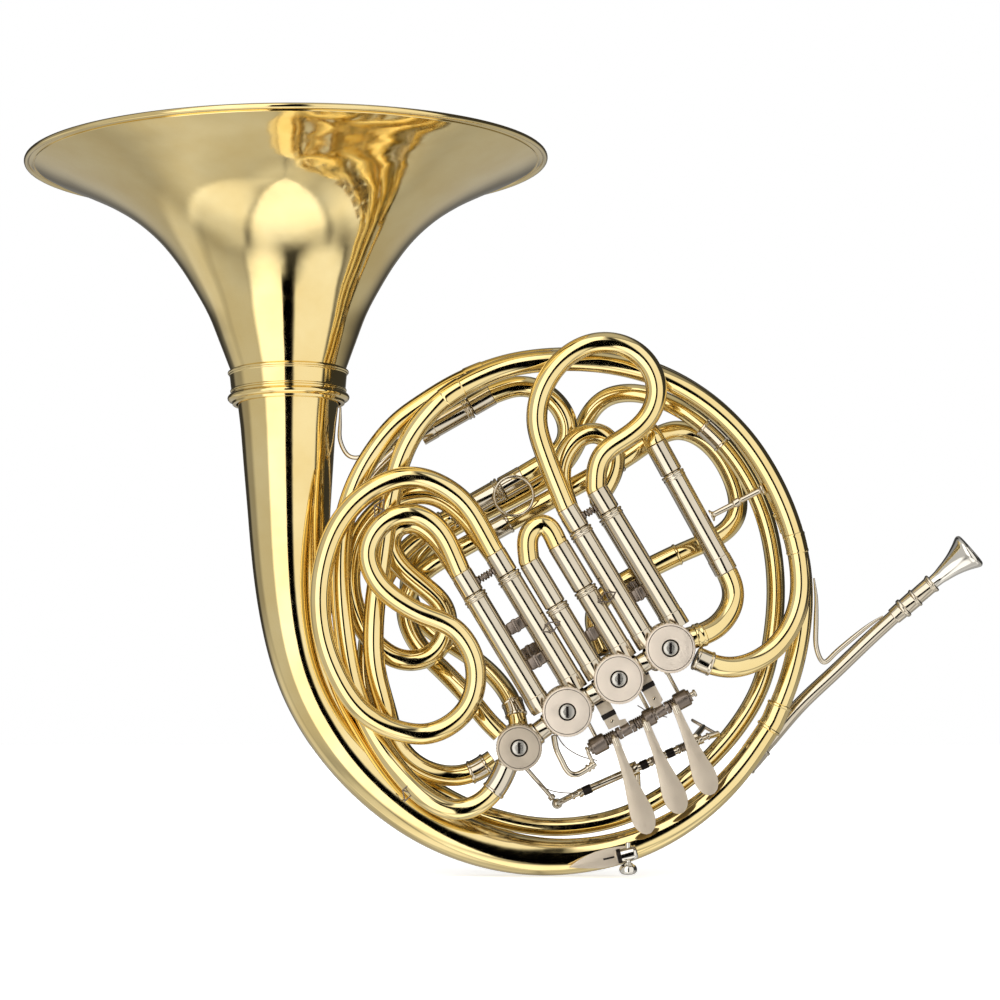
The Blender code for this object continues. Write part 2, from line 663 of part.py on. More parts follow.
def lever(name):
    """A finger lever: barrel, paddle, rear arm and the link with the eye round its stop arm's pin."""
    low, high, arm_at, _ = LEVERS[name]
    body = barrel(AXLE_START, AXLE, low, high)
    x0, z0, x1, z1 = PADDLES[name]
    top = Vector((x0, PADDLE_DEPTH, z0))
    line = Vector((x1, PADDLE_DEPTH, z1)) - top
    length = line.length
    line.normalize()
    side = line.cross(DEPTH)
    right = [(w, t * length) for t, w in PADDLE]
    outline = right + [(-w, v) for w, v in reversed(right)]
    paddle = plate(outline, PADDLE_THICK, top, (side, line, side.cross(line)))
    neck_end = top + line * 3
    at = (neck_end - AXLE_START).dot(AXLE)
    foot = AXLE_START + AXLE * at
    neck = rod([tuple(foot + DEPTH * -3.7), tuple(neck_end + DEPTH * 0.2)], 1.4, 8)

    corner = AXLE_START + AXLE * arm_at
    back = LINK_DEPTH - AXLE_START.y
    arm_middle = corner + DEPTH * (ARM_ROOT + back + 1.2) / 2
    arm = box(arm_middle, (3.0, back + 1.2 - ARM_ROOT, 3.0), (AXLE, DEPTH, LIFT))
    reach = LINK_REACH[name]
    corner = corner + DEPTH * back
    link = box(corner + LIFT * (reach - 3) / 2, (2.6, 2.4, reach - 3), (AXLE, DEPTH, LIFT))
    eye_at = corner + LIFT * (reach - 0.2) + AXLE * LEVERS[name][3] * 1.5
    eye = box(eye_at, (12.2, 2.4, 8.0), (AXLE, DEPTH, LIFT))
    hole = box(eye_at, (9.6, 6.0, 5.4), (AXLE, DEPTH, LIFT))
    body = join(body, neck, paddle, arm, link, cut(eye, hole))
    finish(name + "_finger_lever", body, "satin", pivot=AXLE_START)


def lever_frame():
    """The axle of the finger levers on its two straps, with the bent stay at its end."""
    axle = cylinder(AXLE_START - AXLE * 1.5, AXLE_END + AXLE * 1.5, AXLE_RADIUS, 10)
    straps = []
    for at, length in ((24.75, 18.3), (47.75, 20.9)):
        foot = AXLE_START + AXLE * at
        straps.append(box(foot + LIFT * (length - 2) / 2, (4.6, 2.4, length + 2), (AXLE, DEPTH, LIFT)))
    bent = [(-5, -22, -72), (-4, -22, -84), (2, -22, -91), (9, -22, -88), (13, -22, -80.5)]
    stay = rod(catmull(bent, 5), 1.5, 8)
    finish("lever_frame", join(axle, *straps, casing_cut(stay, "third")), "nickel")


# ---------------------------------------------------------------- thumb lever
THUMB_START = Vector((6.0, 6.0, -108.5))
THUMB_END = Vector((84.0, 6.0, -74.0))
THUMB_AXLE = (THUMB_END - THUMB_START).normalized()
THUMB_LIFT = THUMB_AXLE.cross(DEPTH)
BALL = Vector((-4.0, 33.0, -115.0))


def thumb_lever():
    """The lever behind the fingers: barrel, plate for the thumb, and the arm that ends in the ball."""
    axle = cylinder(THUMB_START - THUMB_AXLE * 1.5, THUMB_END + THUMB_AXLE * 1.5, AXLE_RADIUS, 10)
    low = rod([tuple(THUMB_START - THUMB_AXLE), (5, 8, -120.4)], 1.8, 8)
    high = rod([tuple(THUMB_END + THUMB_AXLE), (91, 10, -72.2)], 1.8, 8)
    finish("thumb_lever_frame", join(axle, low, high), "nickel")

    span = (THUMB_END - THUMB_START).length
    body = pipe(THUMB_START + THUMB_AXLE * 2.5, THUMB_END - THUMB_AXLE * 2.5, 3.0, AXLE_RADIUS + GAP, 12)
    stem_at = THUMB_START + THUMB_AXLE * (span - 6) + THUMB_LIFT * 3.6
    stem = rod([tuple(stem_at), (82.6, 22.0, -68.8)], 1.8, 8)
    edge = Vector((0.87, 0.0, -0.49)).normalized()
    pad = box(Vector((87.0, 31, -71.1)), (25.0, 22.0, 1.6), (edge, DEPTH, edge.cross(DEPTH)))
    arm_at = THUMB_START + THUMB_AXLE * 5
    bent = [tuple(arm_at + DEPTH * 2), tuple(arm_at + DEPTH * 12),
            (0, 27, -112.5), tuple(BALL - DEPTH * 1)]
    arm = rod(bent, 1.8, 8)
    tip = ball(BALL, 3.2)
    finish("thumb_lever", join(body, stem, pad, arm, tip), "satin", pivot=THUMB_START)

    centre, _ = valve("thumb")
    aim, reach = arm_aim("thumb")
    pin = centre + aim * reach
    near = BALL
    far = Vector((pin.x - 1.2, BALL.y, pin.z - 1.1))
    line = (far - near).normalized()
    side = line.cross(DEPTH)
    bar = rod([tuple(near + line * 3.8), tuple(far - line * 4.4)], 1.5, 8)
    eye = box(far, (10.0, 2.6, 10.4), (side, DEPTH, line))
    hole = box(far, (7.4, 8.0, 7.6), (side, DEPTH, line))
    finish("thumb_link_rod", join(cut(eye, hole), bar), "nickel", pivot=BALL)


# ---------------------------------------------------------------- mouthpiece end
MOUTH_BASE = Vector((199.3, 5.95, 1.25))
MOUTH_LINE = Vector((0.747, -0.10, 0.657)).normalized()


def mouth_end():
    receiver = [(4.4, 24.6), (5.9, 24.6), (5.9, 22.4), (5.3, 21.8), (5.3, 11.4), (6.0, 10.8), (6.0, 9.6),
                (5.4, 9.0), (5.4, 2.4), (6.3, 2.0), (6.3, 0), (3.4, 0), (3.4, 5), (4.4, 6)]
    finish("mouthpiece_receiver", turned(receiver, 16, MOUTH_BASE, MOUTH_LINE, closed=True), "nickel")
    cup = [(8.4, 53.6), (9.6, 54.4), (11.1, 53.6), (11.5, 52), (10.6, 49.5), (8.2, 44), (6.2, 38),
           (4.9, 31), (4.1, 26), (3.6, 8), (2.2, 8), (2.2, 30), (4.0, 40)]
    finish("mouthpiece", turned(cup, 20, MOUTH_BASE, MOUTH_LINE, closed=True), "silver")


def braces():
    strap = [(148.8, 2, 15), (148.6, 4, -6), (149, 6, -22), (153.5, 8.5, -30.5), (160, 8.5, -24.5),
             (173, 8, -13.2), (184, 7.5, -2.4)]
    finish("leadpipe_brace", rod(catmull(strap, 8), 1.6), "nickel")
    brace = [(-132.4, 12, 117), (-133.2, 10, 103), (-127, 6.5, 91), (-117, 4, 92.5), (-105.5, 4, 106),
             (-94, 4, 117.5)]
    finish("bell_brace", rod(catmull(brace, 8), 1.6), "nickel")
    start = Vector((85.7, F_LAYERS[0], 56.7))
    end = Vector((116.2, -15, 72.6))
    line = (end - start).normalized()
    bar = [(*start, 3.6), (*(start + line * 1.2), 3.6), (*(start + line * 2.4), 2.1),
           (*(end - line * 2.4), 2.1), (*(end - line * 1.2), 3.6), (*end, 3.6)]
    finish("wrap_brace", rod(bar, 2.1), "nickel")


# ---------------------------------------------------------------- little finger hook
HOOK = Vector((23.0, -11.6, -145.0))
HOOK_LINE = Vector((0.974, 0.0, 0.225)).normalized()


def hook():
    """The leaf-shaped plate on the main tube, with a drilled boss and its thumb screw."""
    leaf = [(-21.5, 0), (-14, 3.2), (-4, 5.4), (8, 5.6), (16, 4.2), (20, 1), (19, -2.4), (12, -4.4),
            (0, -5), (-10, -3.2)]
    body = plate(leaf, 1.6, HOOK, (HOOK_LINE, HOOK_LINE.cross(DEPTH), -DEPTH))
    low = HOOK + HOOK_LINE * 7.5 + DEPTH * -3.4
    boss = cylinder(low, low + HOOK_LINE * 12.5, 4.0, 12)
    screw_at = low + HOOK_LINE * 7
    drill = cylinder(screw_at + Vector((0, 0, -20)), screw_at + Vector((0, 0, 20)), 1.9, 10)
    finish("finger_hook_plate", cut(join(body, boss), drill), "nickel")
    knob = [(0, 7), (1.5, 7), (1.5, -5.0), (3.0, -5.2), (3.0, -6), (5.4, -6.6), (5.4, -11.4),
            (4.6, -12.2), (0, -12.2)]
    finish("finger_hook_screw", turned(knob, 14, screw_at, Vector((0, 0, 1))), "nickel", pivot=screw_at)


# ---------------------------------------------------------------- pull ring
PULL_RING = Vector((-30.0, 9.9, 68.5))
PULL_RADIUS = 11.6


def pull_ring():
    bpy.ops.mesh.primitive_torus_add(major_segments=24, minor_segments=6, major_radius=PULL_RADIUS * MM,
                                     minor_radius=0.9 * MM, rotation=(math.pi / 2, 0, 0))
    obj = bpy.context.object
    obj.location = place(PULL_RING)
    hinge = PULL_RING + Vector((0, 0, PULL_RADIUS))
    finish("main_slide_pull_ring", solid_from(obj), "steel", pivot=hinge)


# ---------------------------------------------------------------- order of work
bell()
branch()
wraps()
valves()
for slide_name in SLIDES:
    slide(slide_name)
f_slide()
main_slide()
for lever_name in LEVERS:
    lever(lever_name)
lever_frame()
thumb_lever()
mouth_end()
braces()
hook()
pull_ring()
for leftover in list(CUTTERS.objects):
    bpy.data.objects.remove(leftover, do_unlink=True)
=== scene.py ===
"""French horn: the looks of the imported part, built round its own frame.

Lengths below are millimetres in the horn's own frame, as in the part's source: x to the
right, z up, y away from the valve caps, zero at the centre of the round body. `place`
turns them into the frame's metres from the left hand's grip.
"""
import math

import bmesh
import bpy
from mathutils import Matrix, Vector

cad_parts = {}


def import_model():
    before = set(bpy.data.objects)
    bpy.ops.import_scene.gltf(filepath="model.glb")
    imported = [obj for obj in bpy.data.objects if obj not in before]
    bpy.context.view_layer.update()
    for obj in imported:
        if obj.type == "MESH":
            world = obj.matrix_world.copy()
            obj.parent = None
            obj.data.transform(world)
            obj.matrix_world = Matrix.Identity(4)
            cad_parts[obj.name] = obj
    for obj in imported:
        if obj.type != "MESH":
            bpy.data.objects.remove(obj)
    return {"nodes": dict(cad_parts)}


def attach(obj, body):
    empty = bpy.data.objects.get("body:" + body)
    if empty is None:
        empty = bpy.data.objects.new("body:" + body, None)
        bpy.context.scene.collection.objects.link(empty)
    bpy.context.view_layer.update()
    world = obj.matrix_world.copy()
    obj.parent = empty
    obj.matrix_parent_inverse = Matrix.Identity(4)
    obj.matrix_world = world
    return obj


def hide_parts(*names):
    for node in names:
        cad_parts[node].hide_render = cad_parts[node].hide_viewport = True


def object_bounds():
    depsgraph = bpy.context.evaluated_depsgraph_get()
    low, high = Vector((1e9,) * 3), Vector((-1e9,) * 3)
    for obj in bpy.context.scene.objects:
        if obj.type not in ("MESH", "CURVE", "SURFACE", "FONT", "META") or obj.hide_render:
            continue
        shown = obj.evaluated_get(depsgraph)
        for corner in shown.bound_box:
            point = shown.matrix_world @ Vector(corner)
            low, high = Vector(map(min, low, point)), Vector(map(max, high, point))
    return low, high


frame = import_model()
CAD_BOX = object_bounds()

MM = 0.001
GRIP = Vector((80.0, 0.0, -118.0))
DEPTH = Vector((0.0, 1.0, 0.0))

# Layers in depth, tube radii and the valves, as in the part
FRONT = -28.0
REAR = 2.0
BACK = 20.0
TUBE = 6.2
THIN_TUBE = 5.8
INNER_TUBE = 5.5
OUTER = 6.5
BORE = 5.9
LEG = 5.3
VALVES = {
    "thumb": (-27.0, -78.0, 12.2),
    "third": (1.0, -57.0, 13.4),
    "second": (31.0, -38.0, 13.4),
    "first": (61.0, -20.0, 13.4),
}
KNUCKLES = {"third": "thumb", "second": "third", "first": "second"}
ROW = Vector((0.857, 0.0, 0.515)).normalized()
PULL = Vector((-ROW.z, 0.0, ROW.x))
CASING_FRONT = -42.0
CASING_BACK = 16.0
CAP_FACE = -47.0
SPINDLE = 3.0
SPINDLE_BACK = 24.0
ARM_FRONT = 18.5
ARM_REACH = 10.2
THUMB_REACH = 7.2
PIN_BACK = 37.0
TURN = math.radians(45)


# ---------------------------------------------------------------- materials
def feed(tree, socket, value):
    """Gives an input a constant, or the output that feeds it."""
    if isinstance(value, bpy.types.NodeSocket):
        tree.links.new(value, socket)
    else:
        socket.default_value = value


def fed(tree, made, **values):
    """Sets a node up: names in small letters are its settings, and the others its inputs."""
    for key, value in values.items():
        if key.islower():
            setattr(made, key, value)
        else:
            feed(tree, made.inputs[key.replace("_", " ")], value)
    return made


def node(tree, kind, *inputs, **values):
    """A new shader node with its first inputs and any named ones."""
    made = fed(tree, tree.nodes.new("ShaderNode" + kind), **values)
    for socket, value in zip(made.inputs, inputs):
        feed(tree, socket, value)
    return made


def noise(tree, scale, detail=3.0):
    """A noise in the object's own metres."""
    own = node(tree, "TexCoord").outputs["Object"]
    return node(tree, "TexNoise", Vector=own, Scale=scale, Detail=detail).outputs["Fac"]


def spread(tree, source, low, high):
    """The middle of a noise spread over a range."""
    return node(tree, "MapRange", source, 0.3, 0.7, low, high).outputs["Result"]


TINT_SCALE = 35.0
SMEAR_SCALE = 180.0
WAVE_SCALE = 55.0
WAVE_DEPTH = 0.0012
GRAIN_DEPTH = 0.00012


def metal(name, light, deep, rough, grain=0.0, grain_scale=2500.0, wave=0.0, coat=0.0):
    """A metal whose colour, roughness and surface vary a little from place to place."""
    made = bpy.data.materials.new(name)
    made.use_nodes = True
    tree = made.node_tree
    share = spread(tree, noise(tree, TINT_SCALE), 0.35, 1.0)
    tint = node(tree, "Mix", data_type="RGBA", A=(*deep, 1.0), B=(*light, 1.0), Factor=share)
    smear = spread(tree, noise(tree, SMEAR_SCALE, 4.0), *rough)
    bumps = {}
    for strength, scale, depth in ((wave, WAVE_SCALE, WAVE_DEPTH), (grain, grain_scale, GRAIN_DEPTH)):
        if strength:
            bump = node(tree, "Bump", Strength=strength, Distance=depth, Height=noise(tree, scale, 2.0), **bumps)
            bumps = {"Normal": bump.outputs["Normal"]}
    fed(tree, tree.nodes["Principled BSDF"], Metallic=1.0, Coat_Weight=coat, Coat_Roughness=0.04,
        Base_Color=tint.outputs["Result"], Roughness=smear, **bumps)
    return made


BRASS = metal("lacquered_brass", (0.89, 0.73, 0.37), (0.80, 0.60, 0.24), (0.05, 0.10), wave=0.06, coat=0.15)
NICKEL = metal("nickel_silver", (0.69, 0.62, 0.50), (0.57, 0.50, 0.38), (0.07, 0.13), wave=0.05)
SATIN = metal("satin_nickel", (0.70, 0.61, 0.49), (0.60, 0.51, 0.40), (0.34, 0.46), grain=0.8, grain_scale=1700.0)
SILVER = metal("silver_plate", (0.80, 0.77, 0.70), (0.68, 0.64, 0.57), (0.06, 0.11), wave=0.04)
STEEL = metal("steel_wire", (0.30, 0.25, 0.21), (0.14, 0.11, 0.09), (0.22, 0.38), grain=0.3)
GRAINED = metal("grained_nickel", (0.95, 0.84, 0.72), (0.86, 0.76, 0.64), (0.36, 0.48), grain=1.0,
                grain_scale=1500.0)
BRIGHT = metal("bright_steel", (0.66, 0.64, 0.59), (0.50, 0.48, 0.43), (0.22, 0.32))
# Near-black: painted shade in the spindles' slots, the caps' holes, the straps' slots and the hook's slot, and the
# black bands on the thumb lever and the hook's boss
DARK = metal("black_steel_and_painted_shade", (0.035, 0.03, 0.028), (0.015, 0.013, 0.012), (0.3, 0.5), grain=0.3)


# ---------------------------------------------------------------- shapes
# Edges sharper than this many degrees stay crisp
TURNED_SHARP = 35
PLATE_SHARP = 50
CORNER_STEPS = 4


def place(point):
    """A point of the horn's frame in metres from the grip."""
    return (Vector(point[:3]) - GRIP) * MM


def piece(name, obj, finish, body, *nodes):
    """Names a finished piece, gives it its metal, and lets it ride on its body in place of CAD nodes."""
    obj.name = name
    obj.data.name = name
    obj.data.materials.clear()
    obj.data.materials.append(finish)
    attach(obj, body)
    if nodes:
        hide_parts(*nodes)
    return obj


def linked(name, data):
    """A new object in the scene."""
    made = bpy.data.objects.new(name, data)
    bpy.context.scene.collection.objects.link(made)
    return made


def drop(*objects):
    for obj in objects:
        bpy.data.objects.remove(obj, do_unlink=True)


def shaded(mesh, sharp):
    """Smooths a mesh, except where it turns by more than some degrees."""
    mesh.shade_smooth()
    mesh.set_sharp_from_angle(angle=math.radians(sharp))


def cleaned(mesh, gap):
    """Joins the points that lie closer than a gap in metres, and turns the faces outwards."""
    body = bmesh.new()
    body.from_mesh(mesh)
    bmesh.ops.remove_doubles(body, verts=body.verts, dist=gap)
    bmesh.ops.recalc_face_normals(body, faces=body.faces)
    body.to_mesh(mesh)
    body.free()


def mesh_object(points, faces):
    """A mesh object from points in metres."""
    mesh = bpy.data.meshes.new("shape")
    mesh.from_pydata(points, [], faces)
    cleaned(mesh, 0.000002)
    shaded(mesh, TURNED_SHARP)
    return linked("shape", mesh)


def merged(*objects):
    """Several mesh objects as one."""
    first = objects[0]
    body = bmesh.new()
    for obj in objects:
        obj.data.transform(obj.matrix_world)
        body.from_mesh(obj.data)
    body.to_mesh(first.data)
    body.free()
    first.matrix_world = Matrix.Identity(4)
    drop(*objects[1:])
    return first


def settled(obj):
    """A new object of the shape that an object's curve or modifiers make."""
    bpy.context.view_layer.update()
    graph = bpy.context.evaluated_depsgraph_get()
    mesh = bpy.data.meshes.new_from_object(obj.evaluated_get(graph))
    mesh.transform(obj.matrix_world)
    drop(obj)
    return linked("shape", mesh)


def carved(obj, *tools):
    """The object cut by each tool."""
    for tool in tools:
        step = obj.modifiers.new("cut", "BOOLEAN")
        step.operation = "DIFFERENCE"
        step.object = tool
        step.solver = "EXACT"
    made = settled(obj)
    drop(*tools)
    shaded(made.data, TURNED_SHARP)
    return made


def eased(obj, width):
    """Rounds the sharp edges of a block."""
    bevel = obj.modifiers.new("edge", "BEVEL")
    bevel.width = width * MM
    bevel.segments = 3
    bevel.limit_method = "ANGLE"
    bevel.angle_limit = math.radians(40)
    made = settled(obj)
    shaded(made.data, PLATE_SHARP)
    return made


def mix(a, b, share):
    return a + (b - a) * share


def arc(radius, start, end, count, centre):
    """Points along an arc between two angles in degrees, as (across, up) pairs."""
    made = []
    for k in range(count + 1):
        angle = math.radians(mix(start, end, k / count))
        made.append((centre[0] + radius * math.cos(angle), centre[1] + radius * math.sin(angle)))
    return made


def blended(t, knots, values):
    """One coordinate of a centripetal Catmull-Rom curve at t."""
    k0, k1, k2, k3 = knots
    v0, v1, v2, v3 = values
    a1 = mix(v0, v1, (t - k0) / (k1 - k0))
    a2 = mix(v1, v2, (t - k1) / (k2 - k1))
    a3 = mix(v2, v3, (t - k2) / (k3 - k2))
    b1 = mix(a1, a2, (t - k0) / (k2 - k0))
    b2 = mix(a2, a3, (t - k1) / (k3 - k1))
    return mix(b1, b2, (t - k1) / (k2 - k1))


def smooth(points, spacing=2.0):
    """Close points along the smooth curve through the given ones; further values are blended too."""
    rows = [tuple(p) for p in points]
    first = tuple(2 * a - b for a, b in zip(rows[0], rows[1]))
    last = tuple(2 * a - b for a, b in zip(rows[-1], rows[-2]))
    padded = [first] + rows + [last]
    made = []
    for i in range(1, len(padded) - 2):
        p0, p1, p2, p3 = padded[i - 1:i + 3]
        knots = [0.0]
        for a, b in ((p0, p1), (p1, p2), (p2, p3)):
            knots.append(knots[-1] + math.sqrt(max(math.dist(a[:3], b[:3]), 0.01)))
        count = max(1, round(math.dist(p1[:3], p2[:3]) / spacing))
        for k in range(count):
            t = knots[1] + (knots[2] - knots[1]) * k / count
            made.append(tuple(blended(t, knots, values) for values in zip(p0, p1, p2, p3)))
    made.append(rows[-1])
    return made


def curved(pairs, spacing):
    """Close pairs along the smooth curve through the given ones."""
    return [p[:2] for p in smooth([(u, v, 0.0) for u, v in pairs], spacing)]


def relaxed(route, rounds=6):
    """A route with the small kinks between its given points evened out, its ends kept."""
    rows = [list(p) for p in route]
    for _ in range(rounds):
        kept = [row[:] for row in rows]
        for i in range(2, len(rows) - 2):
            for axis in range(3):
                near = [row[axis] for row in kept[i - 2:i + 3]]
                rows[i][axis] = (2 * sum(near) - near[0] - near[-1]) / 8
    return [tuple(row) for row in rows]


def hoops(route, radii, sides):
    """Rings of points round a route, carried along it without twist."""
    centres = [Vector(p[:3]) for p in route]
    count = len(centres)
    tangents = []
    for i in range(count):
        ahead = centres[min(i + 1, count - 1)]
        behind = centres[max(i - 1, 0)]
        tangents.append((ahead - behind).normalized())
    side = tangents[0].orthogonal().normalized()
    rings = []
    for i in range(count):
        if i:
            side = tangents[i - 1].rotation_difference(tangents[i]) @ side
            side = (side - tangents[i] * side.dot(tangents[i])).normalized()
        up = tangents[i].cross(side)
        ring = []
        for k in range(sides):
            angle = math.tau * k / sides
            offset = side * math.cos(angle) + up * math.sin(angle)
            ring.append(place(centres[i] + offset * radii[i]))
        rings.append(ring)
    return rings


def skin(rings, closed=False):
    """Faces over rings of points, with flat ends unless the rings close on themselves."""
    sides = len(rings[0])
    points = [p for ring in rings for p in ring]
    faces = []
    spans = len(rings) if closed else len(rings) - 1
    for i in range(spans):
        here = i * sides
        there = (i + 1) % len(rings) * sides
        for k in range(sides):
            after = (k + 1) % sides
            faces.append((here + k, here + after, there + after, there + k))
    if not closed:
        faces.append(tuple(reversed(range(sides))))
        faces.append(tuple(range(len(points) - sides, len(points))))
    return points, faces


def tube(route, radius=TUBE, sides=32):
    """A round tube along a route, whose points may carry their own radius."""
    radii = [p[3] if len(p) > 3 else radius for p in route]
    return mesh_object(*skin(hoops(route, radii, sides)))


def rod(points, radius, sides=16):
    """A bent round bar with softened ends."""
    route = smooth(points, 1.0)
    ease = radius * 0.3
    ends = []
    for here, beside in ((route[0], route[1]), (route[-1], route[-2])):
        out = (Vector(here[:3]) - Vector(beside[:3])).normalized()
        ends.append((*(Vector(here[:3]) + out * ease), radius - ease))
    return tube([ends[0]] + [(*p[:3], radius) for p in route] + [ends[1]], radius, sides)


def rounded(profile, radius, closed):
    """A profile with its corners turned into small curves."""
    count = len(profile)
    made = []
    for i, point in enumerate(profile):
        if not closed and i in (0, count - 1):
            made.append(point)
            continue
        here = Vector(point)
        back = Vector(profile[i - 1]) - here
        ahead = Vector(profile[(i + 1) % count]) - here
        cut = min(radius, back.length * 0.45, ahead.length * 0.45)
        a = here + back.normalized() * cut
        b = here + ahead.normalized() * cut
        for k in range(CORNER_STEPS + 1):
            t = k / CORNER_STEPS
            made.append(tuple(a * (1 - t) ** 2 + here * 2 * t * (1 - t) + b * t ** 2))
    return made


def turned(profile, base, direction, steps, closed=False, ease=0.25):
    """A profile of (radius, height) pairs turned about a line, its corners softened."""
    if ease:
        profile = rounded(profile, ease, closed)
    turn = Vector(direction).to_track_quat("Z", "Y").to_matrix()
    rings = []
    for radius, height in profile:
        ring = []
        for k in range(steps):
            angle = math.tau * k / steps
            local = Vector((max(radius, 0.0) * math.cos(angle), max(radius, 0.0) * math.sin(angle), height))
            ring.append(place(Vector(base) + turn @ local))
        rings.append(ring)
    return mesh_object(*skin(rings, closed))


def block(centre, size, axes, ease):
    """A block with softened edges, turned to the given x, y and z directions."""
    points = []
    for z in (-0.5, 0.5):
        for y in (-0.5, 0.5):
            for x in (-0.5, 0.5):
                local = axes[0] * x * size[0] + axes[1] * y * size[1] + axes[2] * z * size[2]
                points.append(place(Vector(centre) + local))
    faces = [(0, 2, 3, 1), (4, 5, 7, 6), (0, 1, 5, 4), (2, 6, 7, 3), (0, 4, 6, 2), (1, 3, 7, 5)]
    obj = mesh_object(points, faces)
    return eased(obj, ease) if ease else obj


def sheet_metal(outlines, thick, centre, axes, edge):
    """A flat plate of one outline, less the outlines that follow it, with a rounded edge."""
    curve = bpy.data.curves.new("outline", "CURVE")
    curve.dimensions = "2D"
    curve.fill_mode = "BOTH"
    curve.bevel_depth = edge * MM
    curve.bevel_resolution = 2
    curve.offset = -edge * MM
    curve.extrude = (thick / 2 - edge) * MM
    for outline in outlines:
        spline = curve.splines.new("POLY")
        spline.use_cyclic_u = True
        spline.points.add(len(outline) - 1)
        for knot, (u, v) in zip(spline.points, outline):
            knot.co = (u * MM, v * MM, 0.0, 1.0)
    obj = linked("outline", curve)
    turn = Matrix([Vector(a) for a in axes]).transposed().to_4x4()
    obj.matrix_world = Matrix.Translation(place(centre)) @ turn
    made = settled(obj)
    cleaned(made.data, 0.000005)
    shaded(made.data, PLATE_SHARP)
    return made


def pill(width, height):
    """A rectangle's outline with its shorter sides rounded off."""
    radius = min(width, height) * 0.49
    made = []
    for start, u, v in ((0, 1, 1), (90, -1, 1), (180, -1, -1), (270, 1, -1)):
        made += arc(radius, start, start + 90, 8, (u * (width / 2 - radius), v * (height / 2 - radius)))
    return made


def coil(start, direction, radius, wire, pitch, length):
    """A close-wound spring about a line."""
    direction = Vector(direction).normalized()
    side = direction.orthogonal().normalized()
    up = direction.cross(side)
    turns = length / pitch
    count = int(turns * 20)
    route = []
    for k in range(count + 1):
        angle = math.tau * turns * k / count
        centre = Vector(start) + direction * length * k / count
        route.append(tuple(centre + (side * math.cos(angle) + up * math.sin(angle)) * radius))
    return tube(route, wire, 8)


def lengths(route):
    """How far along the route each of its points is."""
    made = [0.0]
    for a, b in zip(route, route[1:]):
        made.append(made[-1] + math.dist(a[:3], b[:3]))
    return made


def stretch(route, start, end, spacing):
    """The part of a route between two distances along it."""
    runs = lengths(route)
    count = max(2, round((end - start) / spacing))
    made = []
    i = 0
    for k in range(count + 1):
        at = mix(start, end, k / count)
        while i < len(runs) - 2 and runs[i + 1] < at:
            i += 1
        share = (at - runs[i]) / max(runs[i + 1] - runs[i], 1e-6)
        made.append(tuple(mix(a, b, share) for a, b in zip(route[i], route[i + 1])))
    return made


def sleeve(route, centre, length, radius, lip):
    """A ferrule round a tube: a slightly wider stretch with rounded, or lipped, ends."""
    runs = lengths(route)
    middle = runs[min(range(len(route)), key=lambda i: math.dist(route[i][:3], centre))]
    core = stretch(route, max(middle - length / 2, 0.0), min(middle + length / 2, runs[-1]), 0.5)
    runs = lengths(core)
    rows = []
    for p, run in zip(core, runs):
        edge = min(run, runs[-1] - run)
        grow = lip if 0.3 < edge < 1.8 else 0.0
        ease = 0.35 * max(0.0, 1.0 - edge / 0.6)
        rows.append((*p[:3], radius + grow - ease))
    return tube(rows)


def screw_head(centre, direction, radius, height):
    """A slotted, domed screw head standing on a face."""
    profile = [(0, height), (radius * 0.6, height * 0.92), (radius, height * 0.45), (radius, 0), (0, 0)]
    head = turned(profile, centre, direction, 20, ease=0.15)
    direction = Vector(direction).normalized()
    side = direction.orthogonal().normalized()
    slot = block(Vector(centre) + direction * height, (radius * 3, radius * 0.36, height * 0.9),
                 (side, direction.cross(side), direction), ease=0)
    return carved(head, slot)


def diamond(name, centre, long, wide, axes, body):
    """A lozenge of thin wire with a spine across it, soldered between two tubes or on one."""
    centre = Vector(centre)
    corners = [(long, 0), (0, wide), (-long, 0), (0, -wide)]
    points = [centre + axes[0] * u + axes[1] * v for u, v in corners]
    sides = []
    for start, end in list(zip(points, points[1:] + points[:1])) + [(points[1], points[3])]:
        sides.append(rod([tuple(start), tuple(end)], 0.42, 10))
    balls = [turned([(0, -0.5), (0.5, -0.2), (0.5, 0.2), (0, 0.5)], at, DEPTH, 10, ease=0) for at in points]
    return piece(name, merged(*sides, *balls), STEEL, body)


# ---------------------------------------------------------------- bell
BELL_TILT = math.radians(8.05)
BELL_AXIS = Vector((-0.015, math.sin(BELL_TILT), math.cos(BELL_TILT))).normalized()
RING_CENTRE = Vector((-163.5, 14.0, 131.0))
WALL = 0.8
FLARE = [(30.5, 3), (34.8, 14), (40.4, 29), (47, 46), (55.5, 62), (65.5, 78), (77.5, 93), (92, 106), (109, 117),
         (128, 126.5), (143, 133.2), (153, 138)]


